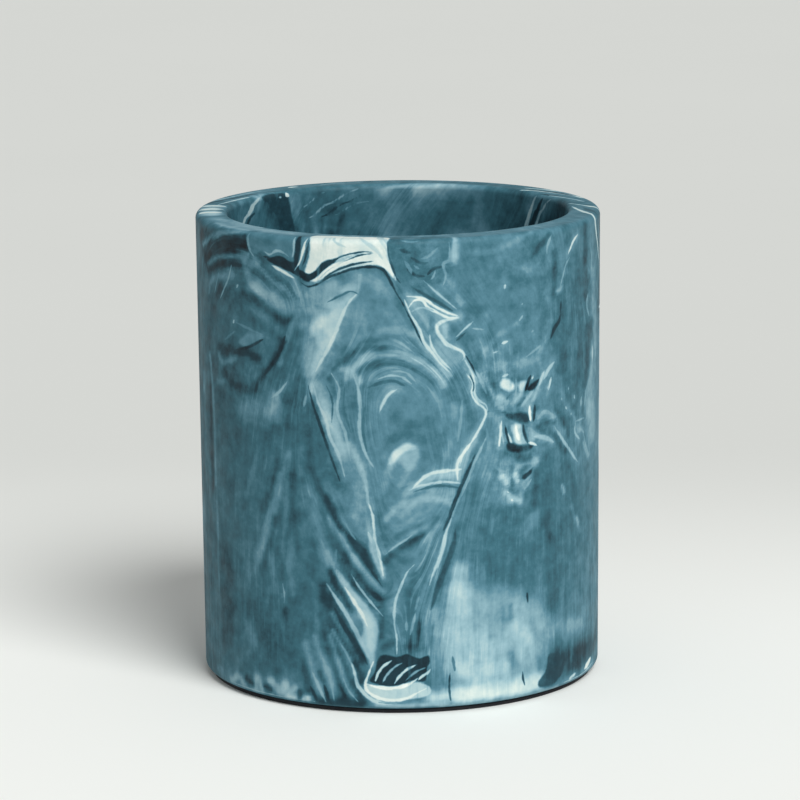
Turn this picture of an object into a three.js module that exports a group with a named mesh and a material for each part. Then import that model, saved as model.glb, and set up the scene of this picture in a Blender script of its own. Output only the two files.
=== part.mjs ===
// A pen cup: a thick-walled round cup moulded in one piece from marbled plastic. It stands on a
// thin dark rubber pad, which a film of adhesive holds to the cup's underside.
// Millimetres, +Z up. The origin is the middle of the pad's underside, where the cup rests.

import * as THREE from "three";

// The cup, as one moulding
const RIM_DIAMETER = 82; // outside, at the top
const BODY_HEIGHT = 94; // underside to rim, without the pad
const RIM_WALL = 6.5; // wall at the rim, outside to inside
const FLOOR_THICKNESS = 6.5;
const SIDE_DRAFT_DEG = 0.3; // the outside narrows downwards by this angle
const CAVITY_DRAFT_DEG = 0.5; // the inside narrows downwards by this angle
const RIM_ROUND = 1.2; // on the rim's outer and inner edges
const FOOT_ROUND = 1.0; // on the edge between side and underside
const CAVITY_ROUND = 3.0; // between the inner wall and the floor

// The non-slip pad and the film that holds it
const PAD_THICKNESS = 0.85;
const PAD_MARGIN = 0.2; // from the edge of the cup's flat underside in to the pad's edge
const FILM_THICKNESS = 0.15;
const FILM_MARGIN = 0.6; // from the pad's edge in to the film's edge

// Colours, roughness and facets
const MARBLED_BLUE = 0x4c7487;
const PAD_NAVY = 0x12141f;
const FILM_CLEAR = 0xc9cdc8;
const SIDES = 96; // facets round each turned piece
const ROUND_STEPS = 4; // facets across each rounded edge

const radians = THREE.MathUtils.degToRad;

// Places that follow from the sizes
const rimRadius = RIM_DIAMETER / 2;
const footRadius = rimRadius - BODY_HEIGHT * Math.tan(radians(SIDE_DRAFT_DEG));
const mouthRadius = rimRadius - RIM_WALL;
const cavityDepth = BODY_HEIGHT - FLOOR_THICKNESS;
const floorRadius = mouthRadius - cavityDepth * Math.tan(radians(CAVITY_DRAFT_DEG));
const padRadius = footRadius - FOOT_ROUND - PAD_MARGIN;
const filmRadius = padRadius - FILM_MARGIN;

// The arc that rounds the corner between two straight edges of a profile, as points. Each edge
// keeps half its length for the corner at its other end, so the radius is limited by the edges.
function roundedCorner(before, corner, after, radius) {
  const back = before.clone().sub(corner);
  const ahead = after.clone().sub(corner);
  const halfAngle = Math.abs(back.angleTo(ahead)) / 2;
  const reach = Math.min(radius / Math.tan(halfAngle), back.length() / 2, ahead.length() / 2);
  const arcRadius = reach * Math.tan(halfAngle);
  back.normalize();
  ahead.normalize();
  const middle = back.clone().add(ahead).normalize();
  const centre = corner.clone().addScaledVector(middle, arcRadius / Math.sin(halfAngle));
  const start = corner.clone().addScaledVector(back, reach).sub(centre);
  const end = corner.clone().addScaledVector(ahead, reach).sub(centre);
  const turn = Math.atan2(start.cross(end), start.dot(end));
  const origin = new THREE.Vector2();
  return Array.from({ length: ROUND_STEPS + 1 }, (_, step) =>
    start.clone().rotateAround(origin, (turn * step) / ROUND_STEPS).add(centre),
  );
}

// A turned solid about +Z. Its profile is a list of corners, each a radius, a height and the
// rounding there, from the axis at the bottom round to the axis at the top.
function turned(corners) {
  const places = corners.map(([radius, height]) => new THREE.Vector2(radius, height));
  const profile = corners.flatMap(([, , rounding], i) =>
    rounding > 0 ? roundedCorner(places[i - 1], places[i], places[i + 1], rounding) : [places[i]],
  );
  return new THREE.LatheGeometry(profile, SIDES).rotateX(Math.PI / 2);
}

// A flat round disc standing on z = 0.
function disc(radius, thickness) {
  return turned([
    [0, 0, 0],
    [radius, 0, 0],
    [radius, thickness, 0],
    [0, thickness, 0],
  ]);
}

function piece(name, geometry, colour, roughness) {
  const material = new THREE.MeshStandardMaterial({ color: colour, roughness, metalness: 0 });
  const mesh = new THREE.Mesh(geometry, material);
  mesh.name = name;
  return mesh;
}

// Cup body: drafted side, flat rim with rounded edges, drafted cavity with a rounded floor corner.
const cupBody = piece(
  "cup_body",
  turned([
    [0, 0, 0],
    [footRadius, 0, FOOT_ROUND],
    [rimRadius, BODY_HEIGHT, RIM_ROUND],
    [mouthRadius, BODY_HEIGHT, RIM_ROUND],
    [floorRadius, FLOOR_THICKNESS, CAVITY_ROUND],
    [0, FLOOR_THICKNESS, 0],
  ]),
  MARBLED_BLUE,
  0.5,
);

// Base pad: a die-cut disc of rubber sheet, the face that the cup stands on.
const basePad = piece("base_pad", disc(padRadius, PAD_THICKNESS), PAD_NAVY, 0.85);

// Adhesive film: bonds the pad to the cup's underside and stops just short of the pad's edge.
const padAdhesive = piece("pad_adhesive", disc(filmRadius, FILM_THICKNESS), FILM_CLEAR, 0.4);

// Stack: pad on the table, film on the pad, cup on the film.
padAdhesive.position.z = PAD_THICKNESS;
cupBody.position.z = PAD_THICKNESS + FILM_THICKNESS;

const penCup = new THREE.Group();
penCup.add(basePad, padAdhesive, cupBody);

export default penCup;
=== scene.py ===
# The looks of the marbled pen cup: its marbling, its rubber pad, and the studio round it.
import math

import bpy
import mathutils
import numpy as np
from mathutils import Matrix, Vector


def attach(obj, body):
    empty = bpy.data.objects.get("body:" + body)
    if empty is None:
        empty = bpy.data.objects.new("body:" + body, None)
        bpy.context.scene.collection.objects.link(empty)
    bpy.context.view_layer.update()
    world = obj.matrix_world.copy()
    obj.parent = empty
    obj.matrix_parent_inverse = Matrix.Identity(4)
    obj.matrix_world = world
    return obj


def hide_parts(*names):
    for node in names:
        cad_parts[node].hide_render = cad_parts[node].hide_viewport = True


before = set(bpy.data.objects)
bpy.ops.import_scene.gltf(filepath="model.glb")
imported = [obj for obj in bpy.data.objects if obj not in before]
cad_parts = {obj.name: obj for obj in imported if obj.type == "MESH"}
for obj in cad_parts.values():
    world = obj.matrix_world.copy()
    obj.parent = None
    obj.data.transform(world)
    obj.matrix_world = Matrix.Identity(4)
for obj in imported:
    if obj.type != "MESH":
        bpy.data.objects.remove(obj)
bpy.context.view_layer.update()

MM = 0.001

# Sizes of the cup in mm, as the solids have them
RIM_RADIUS = 41.0
BODY_BOTTOM = 1.0
RIM_HEIGHT = 95.0
RIM_WALL = 6.5
FLOOR_TOP = 7.5
SIDE_DRAFT_DEG = 0.3
CAVITY_DRAFT_DEG = 0.5
RIM_ROUND = 1.2
FOOT_ROUND = 1.0
CAVITY_ROUND = 3.0
PAD_RADIUS = 39.308
PAD_THICKNESS = 0.85
PAD_EDGE_ROUND = 0.2

FOOT_RADIUS = RIM_RADIUS - (RIM_HEIGHT - BODY_BOTTOM) * math.tan(math.radians(SIDE_DRAFT_DEG))
MOUTH_RADIUS = RIM_RADIUS - RIM_WALL
FLOOR_RADIUS = MOUTH_RADIUS - (RIM_HEIGHT - FLOOR_TOP) * math.tan(math.radians(CAVITY_DRAFT_DEG))
GIRTH = 2 * math.pi * RIM_RADIUS

# Heights on the unrolled sheet where the rim, the inside and the floor begin, in mm
RIM_START = RIM_HEIGHT
RIM_END = RIM_HEIGHT + RIM_WALL
FLOOR_START = RIM_END + RIM_HEIGHT - FLOOR_TOP

# Camera, as fitted to the outline of the cup: places in mm, angles in degrees
CAMERA_DISTANCE = 836.0
CAMERA_HEIGHT = 221.7
CAMERA_ACROSS = 0.1
CAMERA_PITCH_DEG = 11.253
CAMERA_ROLL_DEG = -0.54
CAMERA_LENS = 187.44
CAMERA_SENSOR_WIDTH = 36.0
CAMERA_CLIP_END = 50.0  # metres


def add_object(name, data):
    obj = bpy.data.objects.new(name, data)
    bpy.context.scene.collection.objects.link(obj)
    return obj


def add_camera():
    data = bpy.data.cameras.new("camera")
    data.lens = CAMERA_LENS
    data.sensor_width = CAMERA_SENSOR_WIDTH
    data.sensor_fit = "HORIZONTAL"
    data.clip_end = CAMERA_CLIP_END
    camera = add_object("camera", data)
    pitch = math.radians(CAMERA_PITCH_DEG)
    roll = math.radians(CAMERA_ROLL_DEG)
    ahead = Vector((0, math.cos(pitch), -math.sin(pitch)))
    level_right = Vector((1, 0, 0))
    level_up = level_right.cross(ahead)
    right = level_right * math.cos(roll) + level_up * math.sin(roll)
    up = level_up * math.cos(roll) - level_right * math.sin(roll)
    place = Vector((CAMERA_ACROSS, -CAMERA_DISTANCE, CAMERA_HEIGHT)) * MM
    turn = Matrix((right, up, -ahead)).transposed().to_4x4()
    camera.matrix_world = Matrix.Translation(place) @ turn
    bpy.context.scene.camera = camera


# The marbling is drawn on the unrolled surface, in mm. A place is (around, up). Around is measured
# on the rim's circle from the front, to the right. Up is the height on the side, and goes on over
# the rim and down the inside. Tones run from 0, the darkest blue, to 1, white.
BASE_TONE = 0.34

# Grounds are the broadest soft brush marks: tone, reach, path.
GROUNDS = [
    (0.26, 16, [(-62, 0), (-52, 50), (-50, 94)]),
    (0.28, 10, [(-30, 0), (-28, 40), (-30, 62)]),
    (0.23, 9, [(-42, 60), (-40, 75), (-34, 86)]),
    (0.23, 5, [(-22, 58), (-22, 72), (-24, 80)]),
    (0.41, 8, [(-3, 50), (-1, 66), (-3, 80)]),
    (0.41, 5, [(2, 36), (4, 46)]),
    (0.35, 12, [(18, 90), (24, 78), (26, 72)]),
    (0.29, 9, [(22, 33), (34, 30), (40, 42)]),
    # a pale vertical band near the right edge: partly marbling, partly a painted reflection
    (0.38, 6, [(52, 90), (52, 70), (52, 46)]),
    (0.26, 6, [(46, 80), (46, 70), (43, 60)]),
    (0.31, 4, [(38, 80), (39, 68)]),
    (0.25, 6, [(-18, 18), (-14, 8), (-16, 3)]),
    (0.26, 5, [(-19, 50), (-17, 42), (-14, 36)]),
    (0.33, 4, [(0, 30), (0.6, 22), (0.6, 14)]),
]

# Washes are smaller brush marks over them, in the same form and laid in this order.
WASHES = [
    # dark top left and its arch
    (0.14, 3.0, [(-51, 91), (-46, 92), (-40, 93), (-34, 93)]),
    # painted shade across the middle of the rim's rounded outer edge
    (0.32, 1.6, [(-50, 95), (-45, 95), (-40, 96)]),
    # painted highlight along the top of the rim's rounded outer edge
    (0.55, 0.9, [(-46, 96.4), (-40, 96.2), (-34, 96.2)]),
    (0.05, 1.6, [(-44, 91.4), (-41, 92.6), (-37, 93), (-33.8, 92.4)]),
    (0.44, 0.6, [(-51.5, 90), (-48, 91.6), (-43, 93.4), (-38, 94.6), (-33, 95.3)]),
    (0.06, 1.1, [(-49.6, 87.4), (-46, 89.2), (-42, 90.4), (-37.4, 90.6)]),
    (0.40, 0.5, [(-48.6, 86.6), (-46, 87.6), (-43, 88.6), (-39.5, 89.3), (-36, 89.8), (-33, 90.3)]),
    (0.08, 0.9, [(-48.4, 85.2), (-43, 87.4), (-38, 87.9), (-35, 88.2)]),
    (0.38, 1.1, [(-34.4, 89.6), (-33.4, 87.4), (-31.6, 88.6)]),
    (0.40, 0.6, [(-48.4, 80.8), (-47.4, 82.8), (-45.6, 84), (-42, 84.8), (-38, 85.7)]),
    (0.19, 2.0, [(-46, 76), (-43, 81.6), (-40.4, 81)]),
    (0.50, 1.9, [(-31.5, 84.6), (-29, 83.8), (-26.4, 82.3), (-23, 80.8)]),
    (0.56, 0.6, [(-31.4, 84.2), (-28.4, 82.4)]),
    (0.56, 0.6, [(-26.4, 83), (-24.4, 81)]),
    (0.48, 0.8, [(-31, 89.6), (-28.6, 87.6), (-26.4, 86), (-23, 84.4), (-21, 82.2)]),
    (0.22, 0.6, [(-29, 88.6), (-26.4, 87), (-23, 85.4), (-20.4, 83)]),
    (0.28, 0.6, [(-31, 87), (-28.6, 86), (-25.6, 84.4), (-23.4, 83)]),
    (0.16, 0.9, [(-34.6, 82.6), (-30, 81.2), (-27, 79.5), (-24, 78.2), (-21.6, 78.6)]),
    (0.34, 0.8, [(-34, 80), (-30, 79), (-26.6, 77.4), (-24.4, 76)]),
    (0.22, 0.8, [(-35, 78.4), (-31, 77.4), (-28, 75.8)]),
    (0.44, 0.8, [(-25.2, 69.6), (-23.6, 73.8), (-22, 77.2), (-20.4, 80.2)]),
    (0.52, 0.7, [(-21.2, 86.4), (-20.6, 84.2), (-19.4, 82)]),
    (0.13, 0.9, [(-43.8, 70.8), (-40.8, 70.5)]),
    (0.10, 0.9, [(-39.4, 70.6), (-34.6, 70.6), (-30.2, 70)]),
    (0.44, 0.7, [(-44, 68.6), (-42.4, 67.6), (-40, 68.2), (-37.6, 69)]),
    (0.30, 1.2, [(-36, 67.4), (-32.6, 67.6)]),
    (0.36, 0.6, [(-45, 63.4), (-42.8, 63.6), (-40.4, 64.8)]),
    (0.14, 1.1, [(-42, 65.8), (-38.6, 63.4), (-34.6, 63.2), (-31.6, 64)]),
    (0.14, 0.7, [(-24, 74), (-25.6, 70.8), (-28, 68), (-31, 65)]),
    (0.40, 2.8, [(-36, 59), (-31, 59.4), (-27, 60)]),
    (0.50, 1.3, [(-28.8, 59.8), (-27, 60.6), (-26, 62.4)]),
    # left side, lower down
    (0.42, 0.9, [(-53.6, 63.6), (-53.4, 60.4)]),
    (0.16, 1.0, [(-48.8, 62), (-48.6, 50), (-48.9, 41)]),
    # a pale vertical line near the left edge: partly marbling, partly a painted reflection
    (0.43, 0.6, [(-48.8, 68), (-47.8, 64), (-47.2, 58), (-47, 50), (-47.1, 42)]),
    (0.33, 1.5, [(-47.4, 39), (-47.6, 33)]),
    (0.27, 4.6, [(-41, 56), (-40, 44), (-40, 36)]),
    (0.20, 1.1, [(-25.6, 49.6), (-27.6, 44.4), (-30, 39.4)]),
    (0.46, 1.1, [(-23.4, 51.5), (-24.4, 48.6), (-25.8, 44.4), (-27.2, 40.2), (-29, 35.7), (-31, 31),
                 (-33.2, 27)]),
    (0.37, 0.7, [(-23.4, 50), (-23.8, 43), (-24.6, 37), (-25, 31)]),
    (0.20, 0.9, [(-22.2, 47), (-22.3, 40), (-21.6, 33)]),
    (0.36, 1.0, [(-20.8, 53), (-20.6, 48)]),
    (0.22, 1.2, [(-20, 46), (-19, 40)]),
    (0.24, 0.9, [(-33, 50), (-34.6, 44), (-36, 39)]),
    (0.34, 0.7, [(-31, 52), (-33, 46.6), (-35, 41.4)]),
    (0.21, 0.8, [(-27, 38), (-28.6, 32), (-30.6, 27)]),
    (0.35, 0.7, [(-28.6, 24), (-30, 19.6), (-31.6, 17)]),
    (0.21, 0.7, [(-24.8, 20), (-23.8, 14), (-22.6, 9)]),
    (0.33, 0.8, [(-27.4, 15), (-25.8, 10.4), (-24.6, 7.4)]),
    (0.34, 2.2, [(-35.6, 31), (-34, 27.5)]),
    # the same pale vertical line lower down: partly marbling, partly a painted reflection
    (0.41, 0.5, [(-46.8, 38), (-46.5, 30.5), (-46.5, 20.5)]),
    (0.20, 3.4, [(-43, 28), (-42, 18), (-43, 10)]),
    (0.36, 1.2, [(-27.6, 30), (-26.8, 24)]),
    (0.37, 0.8, [(-23.5, 31), (-22.8, 23)]),
    (0.22, 3.8, [(-33, 18), (-29, 13), (-25, 12)]),
    (0.38, 1.6, [(-35, 14.5), (-33.6, 11.8)]),
    # fringe by the foot on the left
    (0.40, 0.9, [(-48.4, 3), (-46.2, 3.6)]),
    (0.55, 1.0, [(-41.6, 2.2), (-38.8, 3.4), (-37, 2.2)]),
    (0.58, 1.1, [(-33.8, 2.4), (-32.4, 4.6), (-31.4, 2.6)]),
    (0.60, 1.2, [(-28.8, 4.6), (-26.4, 2.8), (-25.2, 4.2)]),
    (0.60, 1.1, [(-24.4, 2.6), (-22.6, 4)]),
    (0.12, 0.8, [(-36, 3.8), (-34.4, 3)]),
    (0.12, 0.7, [(-30.6, 3.2), (-29, 2.8)]),
    (0.12, 0.7, [(-21.7, 3.6), (-21.4, 2.4)]),
    (0.78, 0.6, [(-24.6, 1.9), (-22.8, 2)]),
    (0.78, 0.7, [(-20.6, 2), (-19.2, 2.4)]),
    # the pale wedge under the dark fold, and the flame's left border
    (0.60, 2.8, [(-16.6, 83), (-15.6, 79), (-16.4, 74), (-17.6, 70)]),
    (0.66, 1.6, [(-13, 82.4), (-13.6, 78.6), (-15, 74.6)]),
    (0.60, 1.0, [(-11, 84.8), (-8.6, 85.8)]),
    (0.58, 0.8, [(-12.6, 70), (-9.4, 68.8), (-7.8, 67)]),
    (0.52, 1.4, [(-17, 84.2), (-12.6, 85.6)]),
    (0.42, 1.0, [(-18.6, 82), (-19.4, 77.6)]),
    (0.76, 1.1, [(-16.8, 77), (-15.2, 79)]),
    (0.46, 0.6, [(-16.6, 81.4), (-13.6, 81), (-12.2, 82.4)]),
    (0.48, 0.7, [(-17.6, 74.6), (-16.4, 72.6)]),
    (0.50, 1.2, [(-17.9, 68), (-17.5, 64.6)]),
    (0.66, 0.6, [(-17.4, 66), (-17.2, 64.8)]),
    (0.50, 1.9, [(-15.6, 66), (-14, 61), (-12.6, 55.6), (-11, 50.4)]),
    (0.60, 1.0, [(-16.4, 66), (-15.2, 62), (-13.8, 58.5), (-12.4, 55.2), (-11.4, 52.5)]),
    (0.34, 0.8, [(-9.6, 64), (-10, 60), (-10.4, 56)]),
    (0.58, 0.7, [(-9.9, 54.8), (-8.7, 52), (-7.2, 49), (-6.6, 46)]),
    (0.44, 1.2, [(-9.9, 48.4), (-9.2, 46)]),
    (0.24, 0.8, [(-18.4, 59), (-18.3, 53)]),
    # inside the flame
    (0.46, 1.6, [(-8, 87.6), (-4.4, 87), (-2.2, 84.8)]),
    (0.49, 0.8, [(-6.2, 76.2), (-3.2, 77.2), (0, 77.3), (2.6, 76.2)]),
    (0.33, 0.7, [(-6.4, 74.8), (-2.6, 75.6), (1, 75.6), (3.6, 74.4)]),
    (0.26, 0.7, [(-13.9, 67.4), (-13.1, 69), (-11.6, 70.8), (-9, 72.5), (-6.2, 73.5), (-3, 74)]),
    (0.57, 0.8, [(-10.3, 67.7), (-9.5, 69.3), (-7.4, 71), (-4.5, 72.3), (-1.2, 72.7), (1.8, 72),
                 (4.7, 70.6), (7.2, 68.5), (8.8, 66.4)]),
    (0.31, 0.6, [(-7.8, 69), (-5.3, 70.6), (-2.4, 71.4), (0.5, 71), (3, 69.3)]),
    (0.32, 1.4, [(-0.6, 60), (2, 58.6), (5.4, 58.8)]),
    (0.46, 0.9, [(6.4, 64.4), (8.2, 61), (8.2, 57)]),
    (0.47, 0.7, [(-2.1, 50.4), (-2.8, 48), (-3.2, 45.4)]),
    (0.47, 0.6, [(2.2, 50), (1, 47.8), (-0.2, 46.2)]),
    (0.30, 0.9, [(-1.8, 55.8), (1.2, 56.6), (4.4, 55.4)]),
    (0.62, 0.8, [(4.2, 47), (6.6, 48.1), (11.2, 48.4)]),
    (0.54, 0.8, [(1, 44.6), (2.8, 45.8), (5, 46.5)]),
    (0.56, 0.8, [(-2.9, 39.6), (-1.5, 41.3), (0.8, 42.7), (3.8, 43.6), (6.7, 43.9), (9.6, 43),
                 (10.6, 42.4)]),
    (0.48, 1.0, [(6, 45), (10.6, 44.4)]),
    (0.31, 0.6, [(-0.9, 36.2), (1.7, 37.7), (4, 38.4)]),
    (0.50, 0.7, [(-2.6, 33), (-1.2, 34.2), (0.8, 35.6), (2.9, 37.1), (5, 38)]),
    (0.23, 0.8, [(-3, 31.4), (-0.9, 33.2), (1.7, 35), (4.6, 36.3)]),
    (0.48, 0.7, [(4.8, 35), (6.6, 37), (8, 38.6)]),
    # right of the collar, and along the right seam
    (0.60, 0.8, [(11.1, 96), (11.1, 93), (10.8, 90.4)]),
    (0.50, 0.7, [(9.8, 87.8), (11.3, 84.4), (12.4, 82.2)]),
    (0.52, 0.8, [(2.8, 82), (4.4, 79.8), (5.8, 77.8)]),
    (0.54, 0.8, [(3.6, 76.6), (5.4, 73.4), (8, 70.4), (9.6, 68)]),
    (0.46, 0.9, [(10.6, 62), (10.4, 56), (9.4, 52)]),
    (0.52, 0.9, [(12.9, 71.2), (14.7, 67.3), (14.9, 64), (16.8, 61.6), (17, 59.4), (15.2, 55.6),
                 (13.2, 52.4)]),
    (0.28, 0.5, [(6.3, 79), (6.5, 77.4)]),
    (0.62, 0.8, [(9, 77.8), (9.2, 75.8)]),
    (0.46, 1.1, [(17, 76.8), (17.4, 79.4)]),
    # right side, upper part
    (0.44, 0.7, [(15.6, 92.2), (18.6, 91.9), (21.7, 92.7), (24.7, 93.8), (28.6, 95.2)]),
    (0.22, 0.7, [(28.6, 90.2), (30.8, 92.1), (33, 93.8)]),
    (0.22, 0.8, [(34.8, 90), (34.9, 82)]),
    (0.58, 0.6, [(35.8, 82.2), (36.9, 82.6)]),
    (0.19, 1.2, [(46.8, 94), (47, 87), (47, 80)]),
    (0.46, 0.6, [(30.3, 70.6), (32.4, 73.2), (33.4, 74.7)]),
    (0.48, 1.1, [(20, 69.6), (25, 69), (30, 69.2)]),
    (0.25, 1.6, [(37.6, 71.4), (38, 66.6)]),
    (0.40, 0.5, [(31.8, 82.4), (33.6, 79.2), (34, 76.4)]),
    (0.42, 0.5, [(24, 88.6), (27.4, 87.6), (30, 88.2)]),
    (0.29, 0.7, [(23, 86.6), (27, 85.2), (31, 85.6)]),
    (0.44, 0.6, [(17.4, 72.6), (20.6, 75.4), (24.6, 77)]),
    (0.42, 0.6, [(36.6, 62.8), (38.8, 59), (41, 56.4)]),
    (0.24, 0.8, [(39, 47), (41.6, 43.6), (43, 39.8)]),
    (0.42, 0.6, [(41, 37.6), (42.8, 34.4), (44.8, 32)]),
    (0.23, 1.4, [(31.6, 44), (32, 38), (33.4, 32.6)]),
    (0.54, 0.9, [(49.4, 67.6), (51.6, 66.8)]),
    # the blotches at the right and the patches below them, and the pale band beyond, which is partly
    # marbling and partly a painted reflection near the right edge
    (0.46, 1.6, [(20.6, 62.6), (25, 61.6), (30, 62)]),
    (0.60, 0.5, [(20.4, 63.2), (22.2, 61.6)]),
    (0.60, 0.5, [(23.6, 61.2), (25.6, 62.8)]),
    (0.62, 0.45, [(26.2, 60.9), (28.4, 62.8)]),
    (0.58, 0.4, [(19.8, 61.6), (21.4, 60.4)]),
    (0.62, 0.5, [(31.6, 66), (30.2, 64), (28.8, 61.4)]),
    (0.27, 0.4, [(22.4, 62.6), (23.6, 63.4)]),
    (0.27, 0.4, [(25, 60.8), (26.2, 61.8)]),
    (0.26, 0.6, [(18, 67.6), (19.2, 65.4), (20, 63.8)]),
    (0.52, 0.5, [(16.8, 68), (18.4, 64.4), (20.2, 61.8)]),
    (0.50, 0.9, [(30, 57.8), (32.4, 58), (34.8, 57)]),
    (0.20, 0.5, [(29.8, 55.6), (31.4, 56.3), (35, 56)]),
    (0.50, 0.5, [(18.8, 60), (20.2, 57.4), (19.8, 54)]),
    (0.22, 0.6, [(35.6, 58), (38, 55.4), (39.6, 52.6)]),
    (0.46, 0.6, [(41.6, 56.6), (43.2, 53.4), (45.6, 52.6)]),
    (0.54, 0.7, [(29.4, 54.2), (31.4, 53.4), (34.2, 52.2)]),
    (0.46, 0.7, [(35.4, 54.6), (38.2, 53.6)]),
    (0.22, 0.7, [(34.8, 53.4), (36.8, 51), (38.4, 49.4)]),
    (0.46, 0.5, [(18.8, 59.6), (19.4, 58), (18, 52.8), (16.6, 49.8)]),
    (0.48, 1.2, [(21.2, 57.2), (21.6, 53.4)]),
    # the pale band near the right edge: partly marbling, partly a painted reflection
    (0.52, 3.0, [(50.6, 63), (50, 58), (51.6, 51)]),
    (0.47, 1.4, [(51, 84), (51.8, 76)]),
    (0.48, 1.6, [(53.4, 76), (54, 70), (53.8, 64)]),
    (0.21, 1.5, [(48.2, 73), (49, 69), (48.6, 65.4), (46.6, 62)]),
    (0.52, 0.6, [(46.4, 49.7), (47.7, 47.9), (49, 46.6)]),
    (0.45, 1.8, [(16, 50), (18.4, 44.8), (22, 42)]),
    (0.46, 1.2, [(18.4, 51), (21, 49.8), (23, 49.6)]),
    (0.48, 0.9, [(29.6, 49), (26.6, 45.4), (25.4, 42.6)]),
    (0.24, 1.5, [(29.6, 46), (30, 42.4), (28.6, 39.6)]),
    (0.46, 1.5, [(22, 47), (24, 43.6)]),
    (0.54, 0.6, [(24.6, 48.2), (27, 48.8), (30, 48.8)]),
    (0.26, 0.5, [(23.2, 48.6), (23.4, 45.2)]),
    (0.26, 0.6, [(24.6, 50.4), (28, 50)]),
    (0.76, 0.7, [(21.2, 46.9), (22.2, 45.7)]),
    (0.72, 0.6, [(24.2, 46.8), (24.8, 45.6)]),
    (0.66, 0.8, [(21.8, 43.6), (23.4, 42.2), (25.4, 41.4)]),
    (0.34, 0.4, [(23.2, 43.9), (24.6, 43)]),
    (0.56, 0.5, [(37.5, 42.6), (38.1, 41.2)]),
    (0.60, 0.5, [(43.2, 35), (43.8, 33.7)]),
    (0.38, 1.7, [(28.8, 37.6), (28, 34)]),
    # towards the flame's point
    (0.20, 1.0, [(-17.6, 48.6), (-16.4, 46), (-15, 43.4)]),
    (0.39, 1.4, [(-18.6, 46), (-17.6, 40.4), (-15.4, 33.3), (-13.4, 30)]),
    (0.26, 1.0, [(-14.6, 37), (-12.6, 33.4), (-11, 31)]),
    (0.46, 0.75, [(-14.2, 39.4), (-12, 36.2), (-10.4, 33.2), (-8.8, 31.1), (-7, 28.8), (-5.2, 26.9),
                  (-3.7, 25.2)]),
    (0.52, 0.5, [(-9.8, 32.2), (-7.8, 29.8), (-6, 27.6)]),
    (0.15, 0.75, [(-11.3, 32.2), (-10, 29.9), (-8.2, 27.8), (-6.2, 25.4), (-4.3, 23.6)]),
    (0.17, 0.6, [(-12, 31), (-10.6, 28.2), (-7.8, 24.5), (-4.9, 21.6)]),
    (0.46, 0.6, [(-15, 32.4), (-13.6, 30)]),
    (0.12, 0.7, [(-14.4, 28.6), (-13, 25.7), (-11.5, 23.6), (-10, 21)]),
    (0.38, 0.5, [(-9.4, 20.4), (-8.4, 18), (-7.6, 16.2)]),
    (0.13, 1.4, [(-16, 25.6), (-14.8, 21.6), (-13.6, 18.6)]),
    (0.32, 0.6, [(-18, 26), (-17.6, 21), (-17.4, 16)]),
    (0.18, 0.8, [(-16.4, 20), (-15.6, 15.4)]),
    # streaks that fan out to the foot
    (0.14, 0.9, [(-14.4, 24), (-12.9, 21), (-11, 17.2), (-9.3, 13.8), (-7.8, 10.6)]),
    (0.35, 0.5, [(-14.2, 20), (-12.2, 16.9), (-11.2, 15)]),
    (0.13, 0.9, [(-15, 18.8), (-12.7, 14.7), (-10.4, 12), (-8.8, 9.1), (-8, 6.6)]),
    (0.42, 0.5, [(-14, 16.6), (-12.1, 13.6), (-10.4, 11)]),
    (0.16, 0.7, [(-13.6, 13), (-11.6, 9.7), (-9.9, 5.8), (-8.4, 3.4)]),
    (0.42, 0.55, [(-14.6, 15.4), (-12.8, 10.2), (-11.7, 6.3), (-10.4, 4), (-8.8, 2.5)]),
    (0.14, 0.6, [(-15.2, 12.8), (-13.6, 8.6), (-12.2, 4.4), (-10.6, 2.4)]),
    (0.42, 0.6, [(-18, 15), (-16.6, 11.3), (-15.4, 8.6), (-14.3, 5.8), (-13.8, 2.2)]),
    (0.13, 0.6, [(-17, 8), (-15.3, 3)]),
    (0.43, 0.75, [(-20, 13.4), (-18.6, 7.6), (-17.1, 4.6), (-15.7, 1.9)]),
    (0.15, 0.9, [(-20.8, 9.6), (-19.5, 5), (-18, 2.6)]),
    # strokes above and below the flame's point
    (0.50, 0.8, [(-8.4, 44.6), (-7, 40.6), (-6, 36.6)]),
    (0.44, 1.0, [(-10, 44), (-8.8, 40), (-7.6, 37.4)]),
    (0.20, 0.7, [(-4, 22.6), (-3.8, 19), (-4.1, 16)]),
    (0.20, 0.8, [(3.5, 18.6), (3.6, 15.4)]),
    (0.20, 0.8, [(-3.6, 13.6), (-1.8, 14.6)]),
    (0.18, 0.9, [(1, 14), (4.2, 13.6)]),
    # the pale fan, the dark foot to its right and the line along the foot
    (0.52, 3.0, [(14, 22), (22, 21), (28, 18.6), (33, 15.4)]),
    (0.64, 5.5, [(12, 14), (18, 13), (26, 10.6)]),
    (0.66, 2.6, [(11.4, 24.6), (11, 18)]),
    (0.58, 1.8, [(12, 29), (11.8, 25)]),
    (0.70, 1.8, [(11.6, 24.8), (12.4, 20.6)]),
    (0.52, 1.5, [(7, 20.6), (7.6, 16.6)]),
    (0.67, 2.0, [(24.4, 15.8), (27.4, 13.4)]),
    (0.48, 0.9, [(18.4, 17.8), (18.7, 14.8)]),
    (0.69, 2.4, [(12, 8.6), (16, 7.6), (21, 8)]),
    (0.52, 1.8, [(28, 10), (29, 6)]),
    (0.47, 1.2, [(22.8, 10.2), (25, 7.2)]),
    (0.82, 1.9, [(11, 3.6), (20, 3.8), (30, 3.8)]),
    (0.84, 1.1, [(11, 3.2), (20, 3), (29, 3)]),
    (0.56, 0.5, [(8, 1.3), (22, 1.2), (36, 1.3)]),
    (0.78, 1.2, [(6.2, 3.4), (9, 3.4)]),
    (0.50, 1.2, [(8.8, 9.2), (10.6, 6.6)]),
    (0.48, 2.0, [(33, 13.6), (40, 13.2), (46, 12.8)]),
    (0.42, 0.5, [(23.3, 20.4), (22.8, 18.3)]),
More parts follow.
